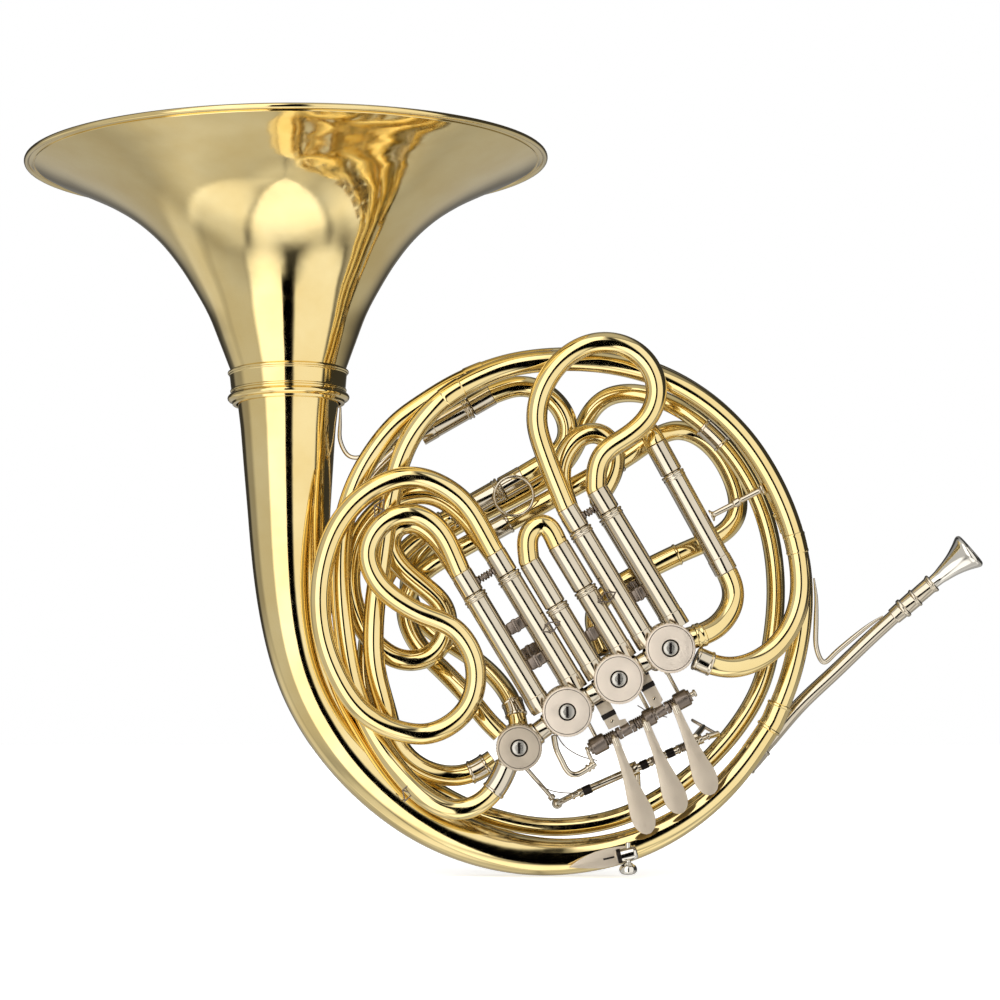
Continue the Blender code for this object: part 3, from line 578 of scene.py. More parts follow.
def bell():
    """The thin flare with its rolled bead, and the ring that joins it to the branch."""
    outer = curved(FLARE, 1.5)
    inner = []
    for i, (r, h) in enumerate(outer):
        ahead = outer[min(i + 1, len(outer) - 1)]
        behind = outer[max(i - 1, 0)]
        along = (Vector(ahead) - Vector(behind)).normalized()
        inner.append((r - along.y * WALL, h + along.x * WALL))
    rim, top = outer[-1]
    profile = outer[:-1] + arc(1.7, -155, 145, 14, (rim + 1.3, top + 0.3)) + inner[-2::-1]
    flare = turned(profile, RING_CENTRE, BELL_AXIS, 180, closed=True, ease=0)
    piece("bell_flare_shell", flare, BRASS, "horn", "bell_flare")
    radius, height = outer[-3]
    seam = arc(0.45, 0, 315, 7, (radius, height - 0.25))
    piece("bell_rim_wire", turned(seam, RING_CENTRE, BELL_AXIS, 180, closed=True, ease=0), BRASS, "horn")
    ring = [(35.2, 11.6), (35.9, 11), (35.9, 10.2), (35.2, 9.8), (35.2, 9.2), (34.7, 8.8), (33.9, 0.4), (34.5, 0),
            (34.5, -0.8), (33.8, -1.2), (33.6, -2.2), (35.2, -2.8), (36.0, -3.8), (36.2, -4.6), (36.0, -5.4),
            (35.2, -6.3), (33.4, -6.8), (33.2, -8.4), (31.0, -8.6), (30.6, 3), (34.2, 11.6)]
    piece("bell_ring_band", turned(ring, RING_CENTRE, BELL_AXIS, 96, closed=True), BRASS, "horn", "bell_ring")


# ---------------------------------------------------------------- branch and wraps
# Centre line of the bell branch, from the ring down and round to the main wrap: x, y, z, radius
BRANCH = [(-163.6, 13.0, 127, 30.4), (-163.5, 10.5, 108, 28.2), (-163.2, 8, 85, 26.4), (-162.8, 6, 60, 24.6),
          (-162.2, 4, 34, 22.9), (-159.5, 2, -2, 20.6), (-151, 1, -40, 18.6), (-133, 0, -74, 17), (-107, 0, -104, 15.4),
          (-75, 0, -127, 14), (-38, 0, -141, 12.4), (-3, 0, -145, 10.8), (39, 0, -138, 9.4), (75, 0, -120, 8),
          (103, 0, -94, 7.1), (122, 0, -66, 6.5)]
MAIN_WRAP = [(123.2, 0, -63.8), (132, 0, -42), (138, 0, -18), (140.5, 0, 8), (138, -1, 34), (130, -1, 58),
             (118, -1, 84), (102, -1, 107), (81, -1, 126), (56, -1, 140), (28, -1, 148), (-3, -1, 150),
             (-34, -2, 146), (-63, -4, 135), (-82, -5, 123.5), (-98, -5.5, 112), (-112, -8, 95), (-123, -12, 75),
             (-130, -13, 52), (-132, -13, 25), (-130, -13, -8), (-124, -14, -43), (-114, -14, -68), (-98, -19, -92),
             (-83, -26, -107), (-66, -28, -115.5), (-50, -28, -112), (-39, -28, -100), (-33, -28, -86)]
FRONT_WRAP = [(76, -28, -26), (88, -27, -31), (101, -24, -32), (118, -20, -25), (131, -17, -11), (138, -15, 8),
              (137.5, -15, 31), (131, -15, 56), (119, -15, 82), (103, -15, 105), (82, -15, 124), (57, -15, 138),
              (28, -15, 146), (-3, -15, 148), (-34, -15.5, 144), (-61, -17, 132), (-75, -19, 122), (-86, -17, 110),
              (-94, -15.2, 96), (-100, -14.5, 78), (-104, -14, 58), (-108, -13, 30), (-112, -13, 0),
              (-112, -12, -30), (-105, -9, -58), (-99, -3, -78), (-87, 0, -91), (-70, 2, -97), (-54, 2, -95),
              (-42, 2, -87)]
INNER_WRAP = [(-67.9, 20, 55.8), (-73, 20, 52.8), (-84, 20, 45), (-97, 19, 34), (-109, 18, 14), (-116, 16, -12),
              (-117, 15, -42), (-107, 14, -73), (-86, 13, -99), (-60, 12, -115), (-30, 11, -125), (0, 10, -127.5),
              (36, 10, -120.5), (70, 11, -101), (98, 12, -74), (116, 13, -45), (124, 14, -10), (125, 14, 24),
              (119, 14, 56), (106, 14, 84), (89, 14, 105), (66, 16, 122), (42, 23, 130), (24, 30.5, 127),
              (14, 34, 116), (8, 34.5, 100), (-1, 34, 86), (-20, 34, 73), (-45, 34, 60), (-66, 34, 50), (-84, 35, 36),
              (-93, 36, 18), (-90, 36, 0), (-76, 34, -14), (-57, 28, -26), (-42, 20, -38), (-32, 10, -51),
              (-28, 3, -62), (-27, 2, -68)]
REAR_LOOP = [(-38, 2, -71.5), (-45, 2, -65), (-57, 7, -50), (-72, 17, -35), (-87, 23, -20), (-94, 24, -4),
             (-93, 22, 12), (-82, 20, 25), (-67, 20, 34), (-40, 20, 49), (-7, 20, 67), (15, 20, 79), (38, 20, 92),
             (55, 22, 104), (69, 27, 108.5), (81, 28, 104), (91, 28, 95), (98, 28, 84), (103, 28, 71),
             (104, 27, 60), (100, 25, 51), (91, 22, 44), (72, 19, 36), (53, 18, 27), (36, 18, 18), (22, 17, 8),
             (17, 12, -4), (20, 5, -15), (24, 2, -24)]
LEADPIPE = [(199, 6, 1), (180, 9, -16.5), (160, 12.5, -36), (140, 15.5, -55), (122, 17, -76), (102, 18, -99),
            (78, 19, -120), (48, 21, -137), (12, 23, -147), (-30, 25, -146), (-70, 28, -134), (-104, 31, -112),
            (-130, 34, -80), (-143, 36, -44), (-144, 36, -5), (-137, 35, 34), (-123, 32, 68), (-108, 26, 88),
            (-89.5, 20.5, 102.5)]


# Ferrules: route, name, centre, length, radius, lip, metal
JOINTS = [
    ("main_wrap", "valve_sleeve", (-37, -28, -96), 19, 6.9, 0.4, NICKEL),
    ("main_wrap", "top_joint", (-52, -3, 139.5), 12, 6.6, 0.0, BRASS),
    ("main_wrap", "side_joint", (131.5, -1, 54), 13, 6.6, 0.3, BRASS),
    ("front_wrap", "valve_sleeve", (80, -27.6, -28), 14, 6.9, 0.4, NICKEL),
    ("front_wrap", "top_joint", (-66, -17.6, 129), 13, 6.6, 0.0, BRASS),
    ("front_wrap", "side_joint", (135, -15, 40), 12, 6.5, 0.2, BRASS),
    ("front_wrap", "rear_sleeve", (-50, 2, -93), 12, 6.8, 0.4, NICKEL),
    ("inner_wrap", "side_ferrule", (89, 14, 105), 17, 6.3, 0.5, NICKEL),
    ("inner_wrap", "slide_ferrule", (-76, 20, 51), 12, 6.3, 0.4, NICKEL),
    ("inner_wrap", "valve_ferrule", (-30, 6, -57), 10, 6.3, 0.4, NICKEL),
    ("rear_loop", "lower_ferrule", (-40, 20, 49), 18, 6.3, 0.4, NICKEL),
    ("rear_loop", "upper_ferrule", (26, 20, 85.5), 18, 6.3, 0.4, NICKEL),
    ("rear_loop", "return_ferrule", (60, 18.4, 30.5), 18, 6.3, 0.4, BRASS),
    ("leadpipe", "slide_ferrule", (-96, 22.5, 98), 10, 5.6, 0.4, NICKEL),
    ("leadpipe", "middle_ferrule", (112, 17.5, -87), 16, 5.5, 0.4, NICKEL),
]


def branch():
    """The branch is a tapered shell that opens into the bell, with a joint ring at its thin end."""
    route = relaxed(smooth(BRANCH, 3.0), 12)
    outer = hoops(route, [p[3] for p in route], 72)
    inner = hoops(route, [p[3] - WALL for p in route], 72)
    shell = mesh_object(*skin(outer + list(reversed(inner)), closed=True))
    piece("bell_branch_shell", shell, BRASS, "horn", "bell_branch")
    piece("branch_joint_ferrule", sleeve(route + relaxed(smooth(MAIN_WRAP, 2.0)), (124, 0, -61), 17, 7.1, 0.5),
          BRASS, "horn")


def wraps():
    """The four bent tubes, the leadpipe, and the ferrules where two lengths of tube meet."""
    routes = {}
    for name, points, radius in (("main_wrap", MAIN_WRAP, TUBE), ("front_wrap", FRONT_WRAP, TUBE),
                                 ("inner_wrap", INNER_WRAP, INNER_TUBE), ("rear_loop", REAR_LOOP, THIN_TUBE)):
        routes[name] = relaxed(smooth(points))
        piece(name + "_tube", tube(routes[name], radius), BRASS, "horn", name)
    routes["leadpipe"] = relaxed(smooth(LEADPIPE))
    taper = [(*p[:3], mix(4.2, 5.0, min(1.0, i / 120))) for i, p in enumerate(routes["leadpipe"])]
    piece("leadpipe_tube", tube(taper), NICKEL, "horn", "leadpipe")
    for route, joint, centre, length, radius, lip, finish in JOINTS:
        piece(f"{route}_{joint}", sleeve(routes[route], centre, length, radius, lip), finish, "horn")


# ---------------------------------------------------------------- valves
def valve(name):
    x, z, radius = VALVES[name]
    return Vector((x, 0.0, z)), radius


def spot(name, along, up, depth):
    """A point near a valve: along the row, up the slides' direction, and at a depth."""
    centre, _ = valve(name)
    return centre + ROW * along + PULL * up + DEPTH * depth


def casing(name):
    """The turned casing with its collars, back flange and screws, and the knuckle to the next valve."""
    centre, radius = valve(name)
    depth = CASING_BACK - CASING_FRONT
    bore = radius - 2.5
    base = centre + DEPTH * CASING_BACK
    flange = radius + 0.5
    shell = [(bore, depth), (radius - 0.4, depth), (radius - 0.4, depth - 1), (radius, depth - 1.2), (radius, 40.5),
             (flange, 40.2), (flange, 38.6), (radius, 38.2), (radius, 21.2), (flange, 20.9), (flange, 18.3),
             (radius, 18), (radius, 5.2), (flange, 5), (flange, 1), (radius - 0.6, 0), (7.2, 0), (7.2, -0.9),
             (6.4, -1.2), (3.3, -1.2), (3.3, 3), (bore, 3)]
    body = turned(shell, base, -DEPTH, 72, closed=True)
    screws = []
    for k in range(3):
        angle = math.radians(100 + 120 * k)
        at = base + (ROW * math.cos(angle) + PULL * math.sin(angle)) * (radius - 3.2)
        screws.append(screw_head(at, DEPTH, 1.3, 0.8))
    piece(name + "_casing_shell", merged(body, *screws), NICKEL, "horn", name + "_valve_casing")
    if name in KNUCKLES:
        end, other = valve(KNUCKLES[name])
        line = (end - centre).normalized()
        start = centre + line * (radius - 1) + DEPTH * FRONT
        span = (end - centre).length - radius - other + 1.5
        collar = [(0, 0), (7.0, 0), (7.0, 1.8), (5.8, 2.6), (5.8, span - 2.6), (7.0, span - 1.8), (7.0, span),
                  (0, span)]
        piece(name + "_front_knuckle", turned(collar, start, line, 40), NICKEL, "horn")


def cap(name):
    """The screwed cap: a grained face with a scribed edge, a knurled skirt and the hole for the spindle."""
    centre, radius = valve(name)
    outer = radius + 1.1
    face = centre + DEPTH * CAP_FACE
    profile = [(5.1, 2.2), (5.1, 0.3), (5.4, 0), (outer - 1.75, 0), (outer - 1.6, 0.3), (outer - 1.35, 0.3),
               (outer - 1.2, 0.05), (outer - 0.5, 0.12), (outer, 0.7), (outer, 5.4), (radius + 0.3, 5.4),
               (radius + 0.3, 2.2)]
    skirt = turned(profile, face, DEPTH, 96, closed=True, ease=0.12)
    ribs = []
    for k in range(48):
        angle = math.tau * k / 48
        out = ROW * math.cos(angle) + PULL * math.sin(angle)
        ribs.append(block(face + out * outer + DEPTH * 3.4, (0.5, 2.6, 0.5), (out, DEPTH, out.cross(DEPTH)), ease=0))
    finish = SATIN if name == "thumb" else GRAINED
    piece(name + "_cap_face", merged(skirt, *ribs), finish, "horn", name + "_valve_cap")
    # A black ring in the hole round the spindle: painted shade in the recess
    well = [(3.3, 1.4), (5.0, 1.0), (5.0, 0.5), (5.3, 0.3), (5.3, 2.4), (3.3, 2.4)]
    piece(name + "_cap_well_shade", turned(well, face, DEPTH, 56, closed=True, ease=0.1), DARK, "horn")
    # The scribed groove is filled with dark steel colour: painted shade in the groove
    groove = [(outer - 1.62, 0.12), (outer - 1.33, 0.12), (outer - 1.33, 0.4), (outer - 1.62, 0.4)]
    piece(name + "_cap_scribe_shade", turned(groove, face, DEPTH, 96, closed=True, ease=0), STEEL, "horn")


def rotor(name):
    """The rotor with its passages, and its spindle with the slotted front end and the screwed back end."""
    centre, casing_radius = valve(name)
    bore = casing_radius - 2.5
    radius = bore - 0.5
    front = CASING_FRONT + 3.9
    back = CASING_BACK - 3.4
    head = CAP_FACE + 0.2
    tail = SPINDLE_BACK
    profile = [(0, tail - head), (SPINDLE, tail - head), (SPINDLE, back - head), (radius, back - head),
               (radius, front - head), (SPINDLE, front - head), (SPINDLE, 1.0), (4.35, 0.8), (4.35, 0.15),
               (3.9, -0.3), (2.4, -0.5), (0, -0.55)]
    body = turned(profile, centre + DEPTH * head, DEPTH, 48, ease=0.15)
    upright = (Vector((1, 0, 0)), DEPTH, Vector((0, 0, 1)))
    tools = [block(centre + DEPTH * head, (1.55, 1.6, 6.5), upright, ease=0)]
    for layer in (FRONT, REAR):
        for side in (-1, 1):
            middle = centre + ROW * side * radius + DEPTH * layer
            tools.append(turned([(0, 0), (5.2, 0), (5.2, 24), (0, 24)], middle - PULL * 12, PULL, 24, ease=0))
    body = carved(body, *tools)
    screw = screw_head(centre + DEPTH * tail, DEPTH, 2.6, 0.9)
    piece(name + "_rotor_plug", merged(body, screw), BRIGHT, name + "_rotor", name + "_rotor")
    # A black block at the bottom of the spindle's slot: painted shadow in the slot
    slot_shade = block(centre + DEPTH * (head + 0.35), (1.5, 0.5, 6.4), upright, ease=0)
    piece(name + "_rotor_slot_shade", slot_shade, DARK, name + "_rotor")


def arm_aim(name):
    """The direction in which a stop arm points at rest, and the arm's length."""
    if name == "thumb":
        return Vector((-0.14, 0.0, -0.99)).normalized(), THUMB_REACH
    side = LEVERS[name][3]
    return ROW * side * math.cos(TURN) - PULL * math.sin(TURN), ARM_REACH


def stop_arm(name):
    """The clamp on the spindle's back end, with its tapered arm and the pin that the link turns."""
    centre, _ = valve(name)
    aim, reach = arm_aim(name)
    base = centre + DEPTH * ARM_FRONT
    hub = turned([(3.3, 4), (6.0, 4), (6.0, 0), (3.3, 0)], base, DEPTH, 48, closed=True, ease=0.4)
    side = aim.cross(DEPTH)
    outline = [(-2.4, 5.0), (-2.0, reach)]
    for k in range(9):
        angle = math.radians(180 - 22.5 * k)
        outline.append((2.0 * math.cos(angle), reach + 2.0 * math.sin(angle)))
    outline.append((2.4, 5.0))
    arm = sheet_metal([outline], 3.0, centre + DEPTH * (ARM_FRONT + 2), (side, aim, side.cross(aim)), 0.3)
    pin_base = centre + aim * reach + DEPTH * (ARM_FRONT + 2)
    back = PIN_BACK if name != "thumb" else PIN_BACK - 1
    length = back - ARM_FRONT - 2
    pin = turned([(0, length), (1.3, length), (1.3, 0), (0, 0)], pin_base, DEPTH, 20, ease=0.3)
    clamp = screw_head(base + side * 5.8 + DEPTH * 2, side, 1.2, 0.4)
    piece(name + "_stop_arm_clamp", merged(hub, arm, pin, clamp), NICKEL, name + "_rotor", name + "_stop_arm")


def valves():
    for name in VALVES:
        casing(name)
        cap(name)
        rotor(name)
        stop_arm(name)
        plate = frame["nodes"][name + "_bearing_plate"]
        for held in plate.material_slots:
            held.material = NICKEL


# ---------------------------------------------------------------- slides
LEG_FOOT = 7.2
SLEEVE = 6.5
GAP = 0.3
# Each valve slide: valve, depth, leg offsets along the row, ring height up the legs, sleeve length, leg length,
# and the bow's route (x, z) from the right leg to the left one
SLIDES = {
    "third_front": ("third", FRONT, (-11.5, 11.5), 86.0, 15.0, 54.0,
                    [(-61, 67), (-88, 80), (-112, 73), (-132, 53), (-143, 18), (-139, -22), (-116, -60), (-80, -71),
                     (-57, -56), (-52, -31), (-64, -9), (-88, 1), (-109, 17), (-116, 36), (-107, 53), (-90, 59),
                     (-74, 50)]),
    "third_rear": ("third", REAR, (-12.5, 10.5), 84.0, 14.0, 26.0,
                   [(-62, 60), (-79, 70), (-97, 68), (-111, 59), (-122, 44), (-127, 22), (-124, 2), (-113, -18),
                    (-96, -29), (-78, -26), (-69, -12), (-71, 4), (-83, 15), (-97, 27), (-104, 40), (-100, 51),
                    (-88, 53), (-76, 44)]),
    "second_front": ("second", FRONT, (-9.4, 10.0), 55.0, 30.0, 34.0, [(-11, 53.5), (-22, 48)]),
    "first_front": ("first", FRONT, (-9.5, 11.0), 86.0, 15.0, 54.0,
                    [(18, 84), (22, 94), (38, 104), (50, 116), (54, 131), (48, 147), (34, 157), (16, 158), (-2, 148),
                     (-14, 130), (-17, 112), (-12, 94)]),
    "first_rear": ("first", REAR, (-9.5, 10.0), 84.0, 12.0, 30.0,
                   [(23, 72), (29, 83), (30, 95), (24, 105), (12, 106), (2, 97), (-3, 82)]),
}
STAYS = {"third_front": (34.0, 58.0), "third_rear": (40.0,), "second_front": (30.0,), "first_front": (36.0,),
         "first_rear": (40.0,)}


# How far above its rings a crook's two legs are wired together
KNOTS = {"third_front": 6.0, "first_front": 6.0}


def outer_tube(foot, end, ring=7.2):
    """A slide's fixed tube: a foot ferrule, a joint line and the beaded ring that its leg runs into."""
    line = Vector(end) - Vector(foot)
    top = line.length
    profile = [(BORE, top), (ring - 0.5, top), (ring, top - 0.5), (ring, top - 1.2), (OUTER + 0.1, top - 1.7),
               (OUTER + 0.1, top - 2.3), (ring - 0.2, top - 2.8), (ring - 0.2, top - 3.3), (OUTER, top - 3.8),
               (OUTER, 9.4), (OUTER + 0.3, 9.2), (OUTER + 0.3, 0), (BORE, 0)]
    return turned(profile, foot, line, 48, closed=True, ease=0.2)


def stay_between(left, right, thick):
    """A turned stay between two tubes, with a collar at its middle and a flange at each end."""
    line = Vector(right) - Vector(left)
    span = line.length
    half = span / 2
    profile = [(0, 0), (2.6, 0), (2.4, 0.8), (thick, 1.5), (thick, half - 1.4), (thick + 0.6, half - 1.0),
               (thick + 0.6, half + 1.0), (thick, half + 1.4), (thick, span - 1.5), (2.4, span - 0.8), (2.6, span),
               (0, span)]
    return turned(profile, left, line, 24, ease=0.2)


def leg(low, high, sleeve_length, wide):
    """A slide leg as (x, y, z, radius) points: thin inside its tube, wide above the ring."""
    line = (high - low).normalized()
    shoulder = high - line * sleeve_length
    return [(*low, LEG), (*shoulder, LEG), (*(shoulder + line * 0.4), wide - 0.4),
            (*(shoulder + line * 0.9), wide), (*(high - line * 0.5), wide), (*(high - line * 0.1), wide - 0.3),
            (*high, TUBE - 0.3)]


def bow_between(first, last, middle):
    """A bow that leaves one leg and comes into the other in line with them."""
    lead = tuple(first[-1][i] + (first[-1][i] - first[0][i]) * 0.01 for i in range(3))
    tail = tuple(last[-1][i] + (last[-1][i] - last[0][i]) * 0.01 for i in range(3))
    route = relaxed(smooth([lead] + middle + [tail], 1.6), 10)
    return [first[-1][:3]] + route + [last[-1][:3]]


def slide(name):
    """The fixed tubes with their stays, and the crook: a brass bow on two nickel legs."""
    casing_name, depth, offsets, ring_up, sleeve_length, engaged, bow = SLIDES[name]
    left, right = offsets
    parts = []
    for along in offsets:
        foot = spot(casing_name, along, LEG_FOOT, depth)
        parts.append(outer_tube(foot, spot(casing_name, along, ring_up, depth)))
    piece(name + "_outer_tubes", merged(*parts), NICKEL, "horn", name + "_slide_tubes")
    # The stays take the dark steel colour as painted shade, for they sit in shadow between the legs
    stays = []
    for up in STAYS[name]:
        a = spot(casing_name, left, up, depth) + ROW * (OUTER - 0.2)
        b = spot(casing_name, right, up, depth) - ROW * (OUTER - 0.2)
        stays.append(block((a + b) / 2, ((b - a).length, 3.0, 7.4), (ROW, DEPTH, PULL), 1.2))
        stays.append(block((a + b) / 2, (3.0, 3.8, 8.4), (ROW, DEPTH, PULL), 1.0))
    piece(name + "_stays_in_painted_shade", merged(*stays), STEEL, "horn")

    legs = []
    for along in (right, left):
        low = spot(casing_name, along, ring_up - engaged, depth)
        high = spot(casing_name, along, ring_up + sleeve_length, depth)
        legs.append(leg(low, high, sleeve_length - GAP, SLEEVE))
    route = bow_between(legs[0], legs[1], [(x, depth, z) for x, z in bow])
    body = name + "_crook"
    piece(name + "_bow", tube(route), BRASS, body, name + "_slide_crook")
    piece(name + "_legs", merged(*(tube(rows, LEG) for rows in legs)), NICKEL, body)
    if name in KNOTS:
        a = spot(casing_name, left, ring_up + KNOTS[name], depth) + ROW * (SLEEVE - 0.4)
        b = spot(casing_name, right, ring_up + KNOTS[name], depth) - ROW * (SLEEVE - 0.4)
        span = (b - a).length
        twist = coil(a + ROW * 1.6, ROW, 1.9, 0.55, 1.8, span - 3.2)
        piece(name + "_knot", merged(stay_between(a, b, 1.3), twist), STEEL, body)


def guards():
    """Lozenge-shaped foot plates on the long bows and between the slides."""
    away = -DEPTH
    for name, body, centre, angle in (
            ("third_bow_foot", "third_front_crook", (-108.5, FRONT - TUBE + 0.2, 61.5), 62),
            ("third_slide_foot", "horn", (-8.5, FRONT - OUTER + 0.1, -8.0), 30),
            ("second_slide_foot", "horn", (24.5, FRONT - OUTER + 0.1, 9.5), 30),
            ("front_wrap_foot", "horn", (-92.0, -28.4, -104.5), 72)):
        turn = math.radians(angle)
        long = Vector((math.cos(turn), 0, math.sin(turn)))
        diamond(name, centre, 5.6, 3.1, (long, long.cross(away) * -1, away), body)


def return_springs():
    """The thin spring wires that run from the casings towards the levers."""
    wires = [
        [(-25, 12, -91), (-16, 13, -101.5), (-8, 13, -106), (4, 12, -107.5), (14, 10, -106.2)],
        [(-5, 2, -72), (0, 0, -79), (9, -6, -84.5), (19, -12, -87)],
        [(43, -4, -55), (51, -8, -59.5), (60, -12, -61.5)],
    ]
    made = [rod(points, 0.3, 8) for points in wires]
    piece("return_spring_wires", merged(*made), STEEL, "horn")


# ---------------------------------------------------------------- F tuning slide at the right
F_LINE = Vector((-0.482, 0.0, 0.876)).normalized()
F_LAYERS = (-13.6, 0.6)
F_FOOT = Vector((95.0, 0.0, 24.0))
F_LENGTH = 66.0
F_SLEEVE = 20.0


def f_slide():
    """Two tubes one behind the other, their crook, and the bends that carry them to the first valve."""
    parts = []
    feet = [F_FOOT + DEPTH * layer for layer in F_LAYERS]
    for foot in feet:
        parts.append(outer_tube(foot, foot + F_LINE * F_LENGTH, 7.0))
    for up in (22, 50):
        middle = F_FOOT + F_LINE * up
        parts.append(stay_between(middle + DEPTH * (F_LAYERS[0] + OUTER - 0.6),
                                  middle + DEPTH * (F_LAYERS[1] - OUTER + 0.6), 1.2))
    piece("f_outer_tubes", merged(*parts), NICKEL, "horn", "f_slide_tubes")

    legs = []
    for foot in feet:
        legs.append(leg(foot + F_LINE * (F_LENGTH - 40), foot + F_LINE * (F_LENGTH + F_SLEEVE), F_SLEEVE - GAP, SLEEVE))
    front, back = (Vector(rows[-1][:3]) for rows in legs)
    centre = (front + back) / 2
    reach = (back - front).length / 2
    arc = []
    for k in range(33):
        angle = math.pi * k / 32
        arc.append(tuple(centre + (front - centre) * math.cos(angle) + F_LINE * reach * math.sin(angle)))
    piece("f_bow", tube(arc), BRASS, "f_crook", "f_slide_crook")
    piece("f_legs", merged(*(tube(rows, LEG) for rows in legs)), NICKEL, "f_crook")

    for label, layer, end in (("front", F_LAYERS[0], FRONT), ("back", F_LAYERS[1], REAR)):
        foot = F_FOOT + DEPTH * layer - F_LINE * 2 * GAP
        bend = [tuple(foot), tuple(foot - F_LINE * 5), (99.5, layer, 11), (97.5, mix(layer, end, 0.25), 2),
                (90, mix(layer, end, 0.65), -8), (79, end, -13.5), (70, end, -16)]
        route = relaxed(smooth(bend, 1.2), 8)
        piece(f"f_bend_{label}_tube", tube(route), BRASS, "horn", "f_slide_bend_" + label)
        piece(f"f_bend_{label}_ferrule", sleeve(route, (79, end, -13.5), 5, 6.7, 0.2), BRASS, "horn")


# ---------------------------------------------------------------- main tuning slide
MAIN_LINE = Vector((0.87, 0.0, 0.493)).normalized()
MAIN_UPPER = Vector((-56.0, BACK, 121.5))
MAIN_LOWER = Vector((-37.5, BACK, 73.0))
MAIN_BOW = [(-26, BACK, 134.5), (-13, BACK, 131), (-2, BACK, 121.5), (3, BACK, 109), (0, BACK, 97)]
MAIN_BACK = 34.0
MAIN_SLEEVE = 15.0
MAIN_ENGAGED = 32.0
PULL_RING = Vector((-30.0, 9.9, 68.5))
PULL_RADIUS = 11.6


def main_slide():
    """The main tuning slide at the upper left, with the wire ring that draws it."""
    parts = []
    legs = []
    for foot in (MAIN_UPPER, MAIN_LOWER):
        parts.append(outer_tube(foot - MAIN_LINE * MAIN_BACK, foot))
        legs.append(leg(foot - MAIN_LINE * MAIN_ENGAGED, foot + MAIN_LINE * MAIN_SLEEVE, MAIN_SLEEVE - GAP, SLEEVE))
    piece("main_outer_tubes", merged(*parts), NICKEL, "horn", "main_slide_tubes")
    route = bow_between(legs[0], legs[1], MAIN_BOW)
    bow = tube(route)
    lug_at = Vector((PULL_RING.x, 12.8, PULL_RING.z + PULL_RADIUS))
    lug = block(lug_at, (3.0, 3.4, 3.0), (Vector((1, 0, 0)), DEPTH, Vector((0, 0, 1))), 0.6)
    piece("main_bow", merged(bow, lug), BRASS, "main_crook", "main_slide_crook")
    piece("main_legs", merged(*(tube(rows, LEG) for rows in legs)), NICKEL, "main_crook")

    ring = []
    for k in range(73):
        angle = math.tau * k / 72
        ring.append(tuple(PULL_RING + Vector((math.sin(angle), 0, math.cos(angle))) * PULL_RADIUS))
    rings = hoops(ring, [0.9] * 73, 16)[:-1]
    piece("pull_ring_wire", mesh_object(*skin(rings, closed=True)), NICKEL, "pull_ring", "main_slide_pull_ring")


# ---------------------------------------------------------------- levers
AXLE_START = Vector((14.0, -22.0, -80.0))
AXLE_END = Vector((75.0, -22.0, -47.4))
AXLE = (AXLE_END - AXLE_START).normalized()
LIFT = AXLE.cross(DEPTH)
# Each lever: where its barrel starts and ends along the axle, where its rear arm stands, and its stop arm's side
LEVERS = {"third": (0.5, 21.5, 6.7, 1.0), "second": (28.0, 44.5, 42.0, 1.0), "first": (51.0, 67.5, 62.4, -1.0)}
PADDLES = {"third": (29.0, -73.0, 49.0, -129.0), "second": (47.0, -64.0, 68.0, -117.0),
           "first": (64.0, -54.0, 86.0, -106.0)}
PADDLE_DEPTH = -27.2
PADDLE_THICK = 1.6
LINK_DEPTH = 33.0
ARM_ROOT = 2.4
LINK_REACH = {"third": 19.7, "second": 22.2, "first": 23.5}
# Half widths of a paddle along its length
PADDLE = [(0.0, 2.1), (0.2, 2.5), (0.42, 3.6), (0.62, 5.4), (0.78, 6.9), (0.9, 6.3), (0.97, 4.0), (1.0, 1.4)]


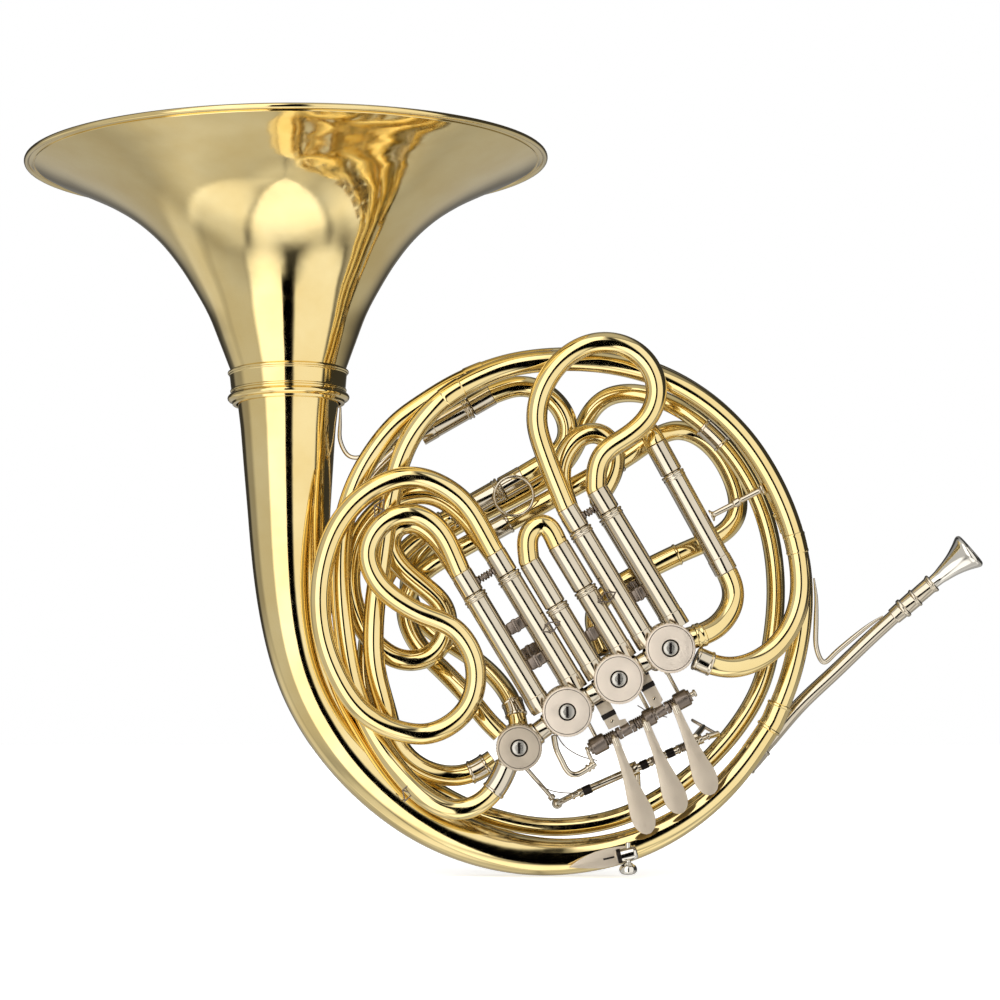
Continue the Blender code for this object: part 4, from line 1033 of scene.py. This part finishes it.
def lever(name):
    """A finger lever: sleeve with its coil spring, strap and paddle, rear arm, link and slotted eye."""
    low, high, arm_at, lean = LEVERS[name]
    body = name + "_lever"
    sleeve_tube = [(1.8, high), (3.7, high), (3.7, high - 2.4), (3.2, high - 2.6), (2.5, high - 2.8), (2.5, low + 2.8),
                   (3.2, low + 2.6), (3.7, low + 2.4), (3.7, low), (1.8, low)]
    barrel = turned(sleeve_tube, AXLE_START, AXLE, 36, closed=True, ease=0.2)

    x0, z0, x1, z1 = PADDLES[name]
    top = Vector((x0, PADDLE_DEPTH, z0))
    line = Vector((x1, PADDLE_DEPTH, z1)) - top
    length = line.length
    line.normalize()
    side = line.cross(DEPTH)
    right = [p[:2] for p in smooth([(w, t * length, 0.0) for t, w in PADDLE], 1.5)]
    outline = right + [(-w, v) for w, v in reversed(right)]
    paddle = sheet_metal([outline], PADDLE_THICK, top, (side, line, side.cross(line)), 0.45)
    piece(name + "_paddle", paddle, SATIN, body, name + "_finger_lever")

    neck_end = top + line * 3
    foot = AXLE_START + AXLE * (neck_end - AXLE_START).dot(AXLE)
    neck = rod([tuple(foot + DEPTH * -3.0), tuple(foot + DEPTH * -4.2 - LIFT * 0.6),
                tuple(neck_end + DEPTH * 0.2), tuple(neck_end + line * 2 + DEPTH * 0.4)], 1.5, 16)
    corner = AXLE_START + AXLE * arm_at
    back = LINK_DEPTH - AXLE_START.y
    arm_axes = (AXLE, DEPTH, LIFT)
    arm = block(corner + DEPTH * (ARM_ROOT + back + 1.2) / 2, (2.8, back + 1.2 - ARM_ROOT, 2.8), arm_axes, 0.6)
    boss = turned([(0, 3.4), (2.2, 3.4), (2.2, -3.4), (0, -3.4)], corner + DEPTH * (back - 0.4), AXLE, 24, ease=0.4)
    reach = LINK_REACH[name]
    corner = corner + DEPTH * back
    link = rod([tuple(corner), tuple(corner + LIFT * (reach - 4))], 1.15, 14)
    nut = turned([(0, 3.0), (1.9, 3.0), (1.9, 0), (0, 0)], corner + LIFT * (reach - 8.4), LIFT, 6, ease=0.2)
    eye_at = corner + LIFT * (reach - 0.2) + AXLE * lean * 1.5
    eye = sheet_metal([pill(12.8, 8.4), pill(10.4, 6.0)], 2.4, eye_at, (AXLE, LIFT, DEPTH * -1), 0.35)
    piece(name + "_lever_sleeve", barrel, STEEL, body)
    piece(name + "_lever_works", merged(neck, arm, boss, link, nut, eye), NICKEL, body)
    near = max(low + 0.4, arm_at - 5)
    far = min(high - 1.3, arm_at + 4.6)
    saddle = turned([(3.4, far), (4.6, far), (5.2, far - 0.8), (5.2, near + 0.8), (4.6, near), (3.4, near)],
                    AXLE_START, AXLE, 40, closed=True, ease=0.2)
    piece(name + "_lever_saddle", saddle, STEEL, body)
    spring = coil(AXLE_START + AXLE * (low + 3.1), AXLE, 3.15, 0.6, 1.35, high - low - 6.2)
    piece(name + "_lever_spring", spring, STEEL, body)


def lever_frame():
    """The axle of the finger levers, its two clamped straps, and the bent stay at its end."""
    parts = []
    span = (AXLE_END - AXLE_START).length
    profile = [(0, -2.0), (1.9, -1.8), (2.3, -1.0), (2.3, -0.4), (1.5, -0.2), (1.5, span + 0.2), (2.3, span + 0.4),
               (2.3, span + 1.0), (1.9, span + 1.8), (0, span + 2.0)]
    parts.append(turned(profile, AXLE_START, AXLE, 32, ease=0.2))
    posts = []
    hubs = []
    bands = []
    for at, shift, length, band_up in ((24.75, -5.0, 23.0, 12.5), (47.75, 0.0, 25.0, 16.5)):
        foot = AXLE_START + AXLE * at
        outline = [(2.5, -2.0), (2.5, 4.4 - shift * 0.3), (shift + 4.1, 5.2 - shift * 0.3), (shift + 4.1, length),
                   (shift - 4.1, length), (shift - 4.1, 4.9), (-2.5, 4.3), (-2.5, -2.0)]
        posts.append(sheet_metal([outline], 2.4, foot, (AXLE, LIFT, AXLE.cross(LIFT)), 0.35))
        hubs.append(turned([(1.6, 3.0), (3.4, 3.0), (3.4, -3.0), (1.6, -3.0)], foot, AXLE, 36, closed=True, ease=0.3))
        parts.append(screw_head(foot + AXLE * shift + LIFT * 8.2 - DEPTH * 1.1, -DEPTH, 1.2, 0.6))
        # Black bands across each strap: painted shade standing in for the straps' slots
        for up, tall in ((band_up, 3.2), (length - 0.8, 3.4)):
            bands.append(block(foot + AXLE * shift + LIFT * up, (8.8, 3.2, tall), (AXLE, DEPTH, LIFT), 0.4))
    stay = rod([(-6.6, -22, -72), (-5, -22, -80), (-2, -22, -86.4), (0.7, -22, -91.6), (3.4, -22, -94.2),
                (7, -22, -94.6), (12.2, -22, -92), (17.5, -22, -88.3)], 1.7)
    parts.append(rod([(16.6, -22, -88.6), (13.4, -22, -81.6)], 1.1))
    for share in (0.0, 2.6):
        at = Vector((13.6, -22, -91.0)) + Vector((0.82, 0, 0.57)) * share
        parts.append(turned([(1.4, 0.8), (2.4, 0.8), (2.4, -0.8), (1.4, -0.8)], at, Vector((0.82, 0, 0.57)), 24,
                            closed=True, ease=0.2))
    parts.append(stay)
    piece("lever_axle_frame", merged(*parts), NICKEL, "horn", "lever_frame")
    piece("lever_axle_posts", merged(*posts), SATIN, "horn")
    piece("lever_axle_hubs", merged(*hubs), STEEL, "horn")
    piece("lever_strap_clamps_as_slot_shade", merged(*bands), DARK, "horn")


# ---------------------------------------------------------------- thumb lever
THUMB_START = Vector((6.0, 6.0, -108.5))
THUMB_END = Vector((84.0, 6.0, -74.0))
THUMB_AXLE = (THUMB_END - THUMB_START).normalized()
THUMB_LIFT = THUMB_AXLE.cross(DEPTH)
BALL = Vector((-4.0, 33.0, -115.0))
THUMB_SPRINGS = ((50.0, 56.6), (67.8, 78.4))


def thumb_lever():
    """The lever behind the fingers: sleeve with its spring, arm with a ball, and the thumb's plate."""
    span = (THUMB_END - THUMB_START).length
    axle = turned([(0, -2), (2.2, -1.6), (2.2, -0.4), (1.5, -0.2), (1.5, span + 0.2), (2.2, span + 0.4),
                   (2.2, span + 1.6), (0, span + 2)], THUMB_START, THUMB_AXLE, 32, ease=0.2)
    clasp_at = THUMB_START + THUMB_AXLE * 39
    clasp = turned([(3.1, 2.0), (4.2, 2.0), (4.2, -2.0), (3.1, -2.0)], clasp_at, THUMB_AXLE, 36, closed=True, ease=0.3)
    low = merged(clasp, rod([tuple(clasp_at - THUMB_LIFT * 3.6), (44, 9, -115.5)], 1.7))
    high = rod([tuple(THUMB_END + THUMB_AXLE), (91, 10, -72.2)], 1.8)
    piece("thumb_axle_frame", merged(axle, low, high), NICKEL, "horn", "thumb_lever_frame")

    first, last = 2.5, span - 2.5
    profile = [(1.8, last), (2.7, last), (2.7, last - 2)]
    for high, low in ((THUMB_SPRINGS[1][1], THUMB_SPRINGS[1][0]), (THUMB_SPRINGS[0][1], THUMB_SPRINGS[0][0])):
        profile += [(2.3, high + 1.7), (2.7, high + 1.5), (2.7, high), (1.98, high - 0.2), (1.98, low + 0.2),
                    (2.7, low),
                    (2.7, low - 1.5), (2.3, low - 1.7)]
    profile += [(2.3, first + 2.2), (2.7, first + 2), (2.7, first), (1.8, first)]
    barrel = turned(profile, THUMB_START, THUMB_AXLE, 36, closed=True, ease=0.2)
    arm_at = THUMB_START + THUMB_AXLE * 5
    arm = rod([tuple(arm_at + DEPTH * 2), tuple(arm_at + DEPTH * 12), (0, 27, -112.5), tuple(BALL - DEPTH * 1)], 1.8)
    knob = []
    for k in range(13):
        angle = math.radians(90 - 15 * k)
        knob.append((3.2 * math.cos(angle), 3.2 * math.sin(angle)))
    tip = turned(knob, BALL, DEPTH, 32, ease=0)
    cap_screw = screw_head(BALL - DEPTH * 2.9, -DEPTH, 1.7, 0.7)
    stem_at = THUMB_START + THUMB_AXLE * (span - 6) + THUMB_LIFT * 3.0
    stem = rod([tuple(stem_at), (82.6, 22.0, -68.8)], 1.8)
    piece("thumb_lever_works", merged(barrel, arm, tip, cap_screw, stem), NICKEL, "thumb_lever", "thumb_lever")

    edge = Vector((0.87, 0.0, -0.49)).normalized()
    face = edge.cross(DEPTH)
    pad = sheet_metal([pad_outline(25.0, 22.0, 5.0)], 1.6, (87.0, 31.0, -71.1), (edge, DEPTH, face), 0.5)
    piece("thumb_plate", pad, SATIN, "thumb_lever")
    springs = []
    for low, high in THUMB_SPRINGS:
        at = THUMB_START + THUMB_AXLE * (low + 0.5)
        springs.append(coil(at, THUMB_AXLE, 2.35, 0.42, 1.0, high - low - 1.0))
    piece("thumb_lever_springs", merged(*springs), STEEL, "thumb_lever")
    bands = []
    for low, high in ((5.4, 10.8), (42.6, 47.4), (59.4, 64.4)):
        band = [(2.2, high), (2.75, high), (2.75, low), (2.2, low)]
        bands.append(turned(band, THUMB_START, THUMB_AXLE, 36, closed=True, ease=0.25))
    piece("thumb_lever_bands", merged(*bands), DARK, "thumb_lever")

    centre, _ = valve("thumb")
    aim, reach = arm_aim("thumb")
    pin = centre + aim * reach
    far = Vector((pin.x - 1.2, BALL.y, pin.z - 1.1))
    line = (far - BALL).normalized()
    side = line.cross(DEPTH)
    bar = rod([tuple(BALL + line * 3.6), tuple(far - line * 4.6)], 1.3, 14)
    socket = turned([(0, 2.6), (2.2, 2.6), (2.2, 0), (0, 0)], BALL + line * 3.7, line, 24, ease=0.4)
    nut = turned([(0, 2.4), (2.1, 2.4), (2.1, 0), (0, 0)], far - line * 8.6, line, 6, ease=0.2)
    eye = sheet_metal([pill(10.0, 10.4), pill(7.4, 7.6)], 2.6, far, (side, line, side.cross(line)), 0.35)
    piece("thumb_link_bar", merged(bar, socket, nut, eye), NICKEL, "thumb_link", "thumb_link_rod")


def pad_outline(width, height, corner):
    """A rectangle with rounded corners."""
    made = []
    for cx, cy, start in ((1, 1, 0), (-1, 1, 90), (-1, -1, 180), (1, -1, 270)):
        for k in range(9):
            angle = math.radians(start + 90 * k / 8)
            made.append((cx * (width / 2 - corner) + corner * math.cos(angle),
                         cy * (height / 2 - corner) + corner * math.sin(angle)))
    return made


# ---------------------------------------------------------------- mouthpiece end
MOUTH_BASE = Vector((199.3, 5.95, 1.25))
MOUTH_LINE = Vector((0.747, -0.10, 0.657)).normalized()


def mouth_end():
    """The receiver with its rings and the cup mouthpiece in it."""
    receiver = [(4.4, 24.6), (5.4, 24.6), (5.9, 24.1), (5.9, 23.2), (5.5, 22.7), (5.5, 22.2), (5.1, 21.8), (5.0, 11.8),
                (5.9, 11.3), (6.0, 10.4), (5.4, 9.6), (5.3, 2.8), (6.1, 2.4), (6.3, 1.4), (6.1, 0.4), (5.2, -0.2),
                (5.2, -1.0), (5.0, -6.0), (4.7, -6.4), (3.4, -6.4), (3.4, 5), (4.4, 6)]
    piece("receiver_socket", turned(receiver, MOUTH_BASE, MOUTH_LINE, 72, closed=True), NICKEL, "horn",
          "mouthpiece_receiver")
    outer = [(3.6, 8), (3.8, 18), (4.0, 26), (4.3, 29.5), (4.8, 32), (5.8, 37), (7.2, 42), (8.9, 46.4), (10.3, 49.4),
             (11.2, 51.2), (11.5, 52.2), (11.4, 53.1), (10.9, 53.9), (10.2, 54.4), (9.6, 54.5), (9.0, 54.3),
             (8.5, 53.8)]
    inner = [(8.2, 53.0), (7.4, 50.0), (6.2, 46.2), (4.9, 42.6), (3.6, 39), (2.7, 35), (2.2, 30), (2.2, 8)]
    outer_curve = [p[:2] for p in smooth([(r, h, 0.0) for r, h in outer], 0.8)]
    inner_curve = [p[:2] for p in smooth([(r, h, 0.0) for r, h in inner], 1.2)]
    cup = turned(outer_curve + inner_curve, MOUTH_BASE, MOUTH_LINE, 96, closed=True, ease=0)
    piece("mouthpiece_cup", cup, SILVER, "mouthpiece", "mouthpiece")


def tapered(points):
    """A bent wire whose ends thin out where they are soldered: x, y, z and radius."""
    route = relaxed(smooth(points, 1.0), 4)
    return tube(route, 1.0, 20)


def braces():
    strap = [(147.2, 1, 20, 0.5), (148.6, 2, 8, 1.1), (148.6, 4, -6, 1.5), (149, 6, -22, 1.5), (153.5, 8.5, -30.5, 1.5),
             (160, 8.5, -24.5, 1.5), (173, 8.2, -13.6, 1.4), (182, 8.2, -6.6, 1.0), (188.5, 8, -2.6, 0.5)]
    bar = tapered(strap)
    piece("leadpipe_brace_strap", bar, NICKEL, "horn", "leadpipe_brace")
    bent = [(-132.6, 12.5, 121, 0.6), (-132.8, 11, 110, 1.1), (-133.0, 10, 102, 1.3), (-127, 6.5, 91.5, 1.3),
            (-117, 4, 92.5, 1.3), (-105.5, 4, 106, 1.3), (-94, 4, 117.5, 1.1), (-88, 3, 122, 0.6)]
    piece("bell_brace_strap", tapered(bent), NICKEL, "horn", "bell_brace")
    start = Vector((85.7, F_LAYERS[0], 56.7))
    end = Vector((116.2, -15, 72.6))
    line = end - start
    span = line.length
    profile = [(0, 0), (3.6, 0), (3.6, 0.9), (2.2, 1.6), (1.7, 2.6), (1.7, span * 0.42), (2.5, span * 0.45),
               (2.5, span * 0.55), (1.7, span * 0.58), (1.7, span - 2.6), (2.2, span - 1.6), (3.6, span - 0.9),
               (3.6, span), (0, span)]
    piece("wrap_brace_bar", turned(profile, start, line, 32), NICKEL, "horn", "wrap_brace")


# ---------------------------------------------------------------- little finger hook
HOOK = Vector((23.0, -11.6, -145.0))
HOOK_LINE = Vector((0.974, 0.0, 0.225)).normalized()


def hook():
    """The leaf plate on the main tube, its boss, and the thumb screw through it."""
    leaf = [(-21.5, 0), (-14, 3.2), (-4, 5.4), (8, 5.6), (16, 4.2), (20, 1), (19, -2.4), (12, -4.4), (0, -5),
            (-10, -3.2), (-21.5, 0)]
    outline = [p[:2] for p in smooth([(u, v, 0.0) for u, v in leaf], 1.2)][:-1]
    axes = (HOOK_LINE, HOOK_LINE.cross(DEPTH), -DEPTH)
    plate = sheet_metal([outline], 1.6, HOOK, axes, 0.4)
    piece("hook_leaf", plate, SATIN, "horn", "finger_hook_plate")
    low = HOOK + HOOK_LINE * 7.5 + DEPTH * -3.4
    boss = turned([(0, 0), (2.9, 0), (3.7, 0.8), (4.0, 2.0), (4.0, 10.5), (3.7, 11.7), (2.9, 12.5), (0, 12.5)], low,
                  HOOK_LINE, 40)
    screw_at = low + HOOK_LINE * 7
    drill = turned([(0, -20), (1.9, -20), (1.9, 20), (0, 20)], screw_at, Vector((0, 0, 1)), 24, ease=0)
    piece("hook_boss", carved(boss, drill), SILVER, "horn")
    # A black ring at the boss's lower end, and a black line on the leaf: painted shade where the leaf's slot is
    groove = turned([(3.7, 0.3), (4.3, 0.6), (4.3, 2.7), (3.7, 3.0)], low, HOOK_LINE, 40, closed=True, ease=0.1)
    line_at = low + HOOK_LINE * -4.6 + DEPTH * 2.45
    slot_shade_line = block(line_at, (6.6, 0.6, 1.1), (HOOK_LINE, DEPTH, HOOK_LINE.cross(DEPTH)), 0.2)
    piece("hook_band_and_slot_shade", merged(groove, slot_shade_line), DARK, "horn")
    knob = [(0, 7), (1.2, 7), (1.5, 6.6), (1.5, -5.0), (2.6, -5.2), (2.9, -5.9), (4.2, -6.5), (5.0, -7.6), (5.3, -9.0),
            (5.0, -10.5), (4.0, -11.6), (2.2, -12.2), (0, -12.3)]
    body = turned(knob, screw_at, Vector((0, 0, 1)), 64, ease=0.4)
    piece("hook_thumb_screw", body, SILVER, "hook_screw", "finger_hook_screw")


# ---------------------------------------------------------------- surroundings
# Soft boxes: from and to in degrees right of straight ahead, from and to in degrees up, softness in degrees, strength,
# and the degrees by which the lower edge rises at its sides. Dark gaps have the first five of these.
BASE_LIGHT = 0.045
BOXES = [
    (-50, 1, -47, 66, 5.0, 1.65, 8),
    (-100, -50, -44, 66, 7.0, 0.58, 0),
    (-132, -100, -44, 60, 6.0, 0.28, 0),
    (13, 74, -47, 56, 3.0, 1.05, 8),
    (-180, 180, -90, -54, 9.0, 0.58, 0),
    (-112, -48, -80, -45, 5.0, 0.50, 10),
    (-40, 50, -92, -50, 6.0, 0.85, 0),
    (58, 110, -72, -45, 5.0, 0.42, 8),
    (-180, 180, -95, -82, 4.0, 0.30, 0),
    (-181, -104, -56, -14, 8.0, 0.42, 0),
    (78, 181, -56, -14, 8.0, 0.42, 0),
    (165, 185, -10, 60, 6.0, 0.15, 0),
    (-185, -165, -10, 60, 6.0, 0.15, 0),
]
GAPS = [(-5.0, 9.5, -41, 27, 0.7)]


def world():
    """Plain white for the eye, and for the metal a dim studio lit by soft boxes, with a dark gap across them."""
    sky = bpy.data.worlds.new("studio")
    bpy.context.scene.world = sky
    sky.use_nodes = True
    tree = sky.node_tree
    tree.nodes.clear()
    links = tree.links

    def node(kind, **settings):
        made = tree.nodes.new(kind)
        for key, value in settings.items():
            setattr(made, key, value)
        return made

    def sum_of(operation, a, b=None):
        made = node("ShaderNodeMath", operation=operation)
        for socket, value in zip(made.inputs, (a, b)):
            if value is None:
                continue
            if isinstance(value, (int, float)):
                socket.default_value = value
            else:
                links.new(value, socket)
        return made.outputs[0]

    direction = node("ShaderNodeSeparateXYZ")
    links.new(node("ShaderNodeTexCoord").outputs["Generated"], direction.inputs[0])
    x, y, z = direction.outputs
    azimuth = sum_of("MULTIPLY", sum_of("ARCTAN2", x, sum_of("MULTIPLY", y, -1.0)), 180 / math.pi)
    height = sum_of("MULTIPLY", sum_of("ARCSINE", z), 180 / math.pi)

    def window(value, low, high, soft):
        """1 between two angles, with soft edges."""
        rise = node("ShaderNodeMapRange", interpolation_type="SMOOTHSTEP")
        fall = node("ShaderNodeMapRange", interpolation_type="SMOOTHSTEP")
        for made, start, end in ((rise, low - soft, low + soft), (fall, high + soft, high - soft)):
            links.new(value, made.inputs["Value"])
            made.inputs["From Min"].default_value = start
            made.inputs["From Max"].default_value = end
        return sum_of("MULTIPLY", rise.outputs[0], fall.outputs[0])

    def region(low, high, bottom, top, soft, bow=0.0):
        """A window in both angles, whose lower edge is bowed by an angle at its sides."""
        aside = sum_of("DIVIDE", sum_of("SUBTRACT", azimuth, (low + high) / 2), (high - low) / 2)
        lowered = sum_of("SUBTRACT", height, sum_of("MULTIPLY", sum_of("MULTIPLY", aside, aside), bow))
        rises = window(lowered, bottom, 300, soft * 2)
        falls = window(height, -300, top, soft)
        return sum_of("MULTIPLY", window(azimuth, low, high, soft), sum_of("MULTIPLY", rises, falls))

    light = sum_of("MULTIPLY", window(height, 60, 200, 14), 0.5)
    light = sum_of("ADD", light, BASE_LIGHT)
    for low, high, bottom, top, soft, strength, bow in BOXES:
        light = sum_of("ADD", light, sum_of("MULTIPLY", region(low, high, bottom, top, soft, bow), strength))
    for gap in GAPS:
        light = sum_of("MULTIPLY", light, sum_of("SUBTRACT", 1.0, region(*gap)))

    seen = node("ShaderNodeLightPath").outputs["Is Camera Ray"]
    background = node("ShaderNodeBackground")
    white = node("ShaderNodeBackground")
    white.inputs["Strength"].default_value = 1.0
    white.inputs["Color"].default_value = (1.0, 1.0, 1.0, 1.0)
    background.inputs["Color"].default_value = (1.0, 0.985, 0.96, 1.0)
    links.new(light, background.inputs["Strength"])
    both = node("ShaderNodeMixShader")
    links.new(seen, both.inputs[0])
    links.new(background.outputs[0], both.inputs[1])
    links.new(white.outputs[0], both.inputs[2])
    links.new(both.outputs[0], node("ShaderNodeOutputWorld").inputs["Surface"])


FLOOR_HALF = 1.6
FLOOR_GAP = 0.0006


def floor():
    """A plain white floor just under the lowest point."""
    low = CAD_BOX[0].z - FLOOR_GAP
    points = [(x * FLOOR_HALF, y * FLOOR_HALF, low) for x, y in ((-1, -1), (1, -1), (1, 1), (-1, 1))]
    made = mesh_object(points, [(0, 1, 2, 3)])
    made.name = "studio_floor"
    paint = bpy.data.materials.new("floor_white")
    paint.use_nodes = True
    shader = paint.node_tree.nodes["Principled BSDF"]
    shader.inputs["Base Color"].default_value = (0.9, 0.9, 0.89, 1.0)
    shader.inputs["Roughness"].default_value = 0.9
    shader.inputs["Emission Color"].default_value = (1.0, 1.0, 1.0, 1.0)
    shader.inputs["Emission Strength"].default_value = 0.62
    made.data.materials.append(paint)
    made.visible_glossy = False


# Lamps: name, place and size in metres, power in watts; all face one point
LAMPS = [
    ("key", (-1.6, -1.4, 1.7), 1.6, 20.0),
    ("fill", (1.5, -1.6, 1.0), 1.8, 10.0),
    ("back", (0.6, 1.8, 1.6), 1.4, 14.0),
]
LAMP_TARGET = (-0.12, 0, 0.18)


def lamps():
    """Three soft lamps, which the metal doesn't mirror."""
    for name, at, size, power in LAMPS:
        lamp = bpy.data.lights.new(name, "AREA")
        lamp.size = size
        lamp.energy = power
        made = linked(name, lamp)
        made.visible_glossy = False
        made.location = at
        made.rotation_mode = "QUATERNION"
        made.rotation_quaternion = (Vector(LAMP_TARGET) - Vector(at)).to_track_quat("-Z", "Y")


SENSOR = 36.0
CAMERA_DISTANCE = 3.0
VIEW_WIDTH = 0.590
VIEW_MIDDLE = (-38.1, 0, 66.1)


def camera():
    """A long lens straight in front of the valves' side."""
    lens = bpy.data.cameras.new("camera")
    lens.sensor_width = SENSOR
    lens.lens = SENSOR * CAMERA_DISTANCE / VIEW_WIDTH
    made = linked("camera", lens)
    middle = place(VIEW_MIDDLE)
    made.location = (middle.x, -CAMERA_DISTANCE, middle.z)
    made.rotation_euler = (math.radians(90), 0, 0)
    bpy.context.scene.camera = made


bell()
branch()
wraps()
valves()
for slide_name in SLIDES:
    slide(slide_name)
guards()
return_springs()
f_slide()
main_slide()
for lever_name in LEVERS:
    lever(lever_name)
lever_frame()
thumb_lever()
mouth_end()
braces()
hook()
world()
floor()
lamps()
camera()
scene = bpy.context.scene
scene.view_settings.view_transform = "Standard"
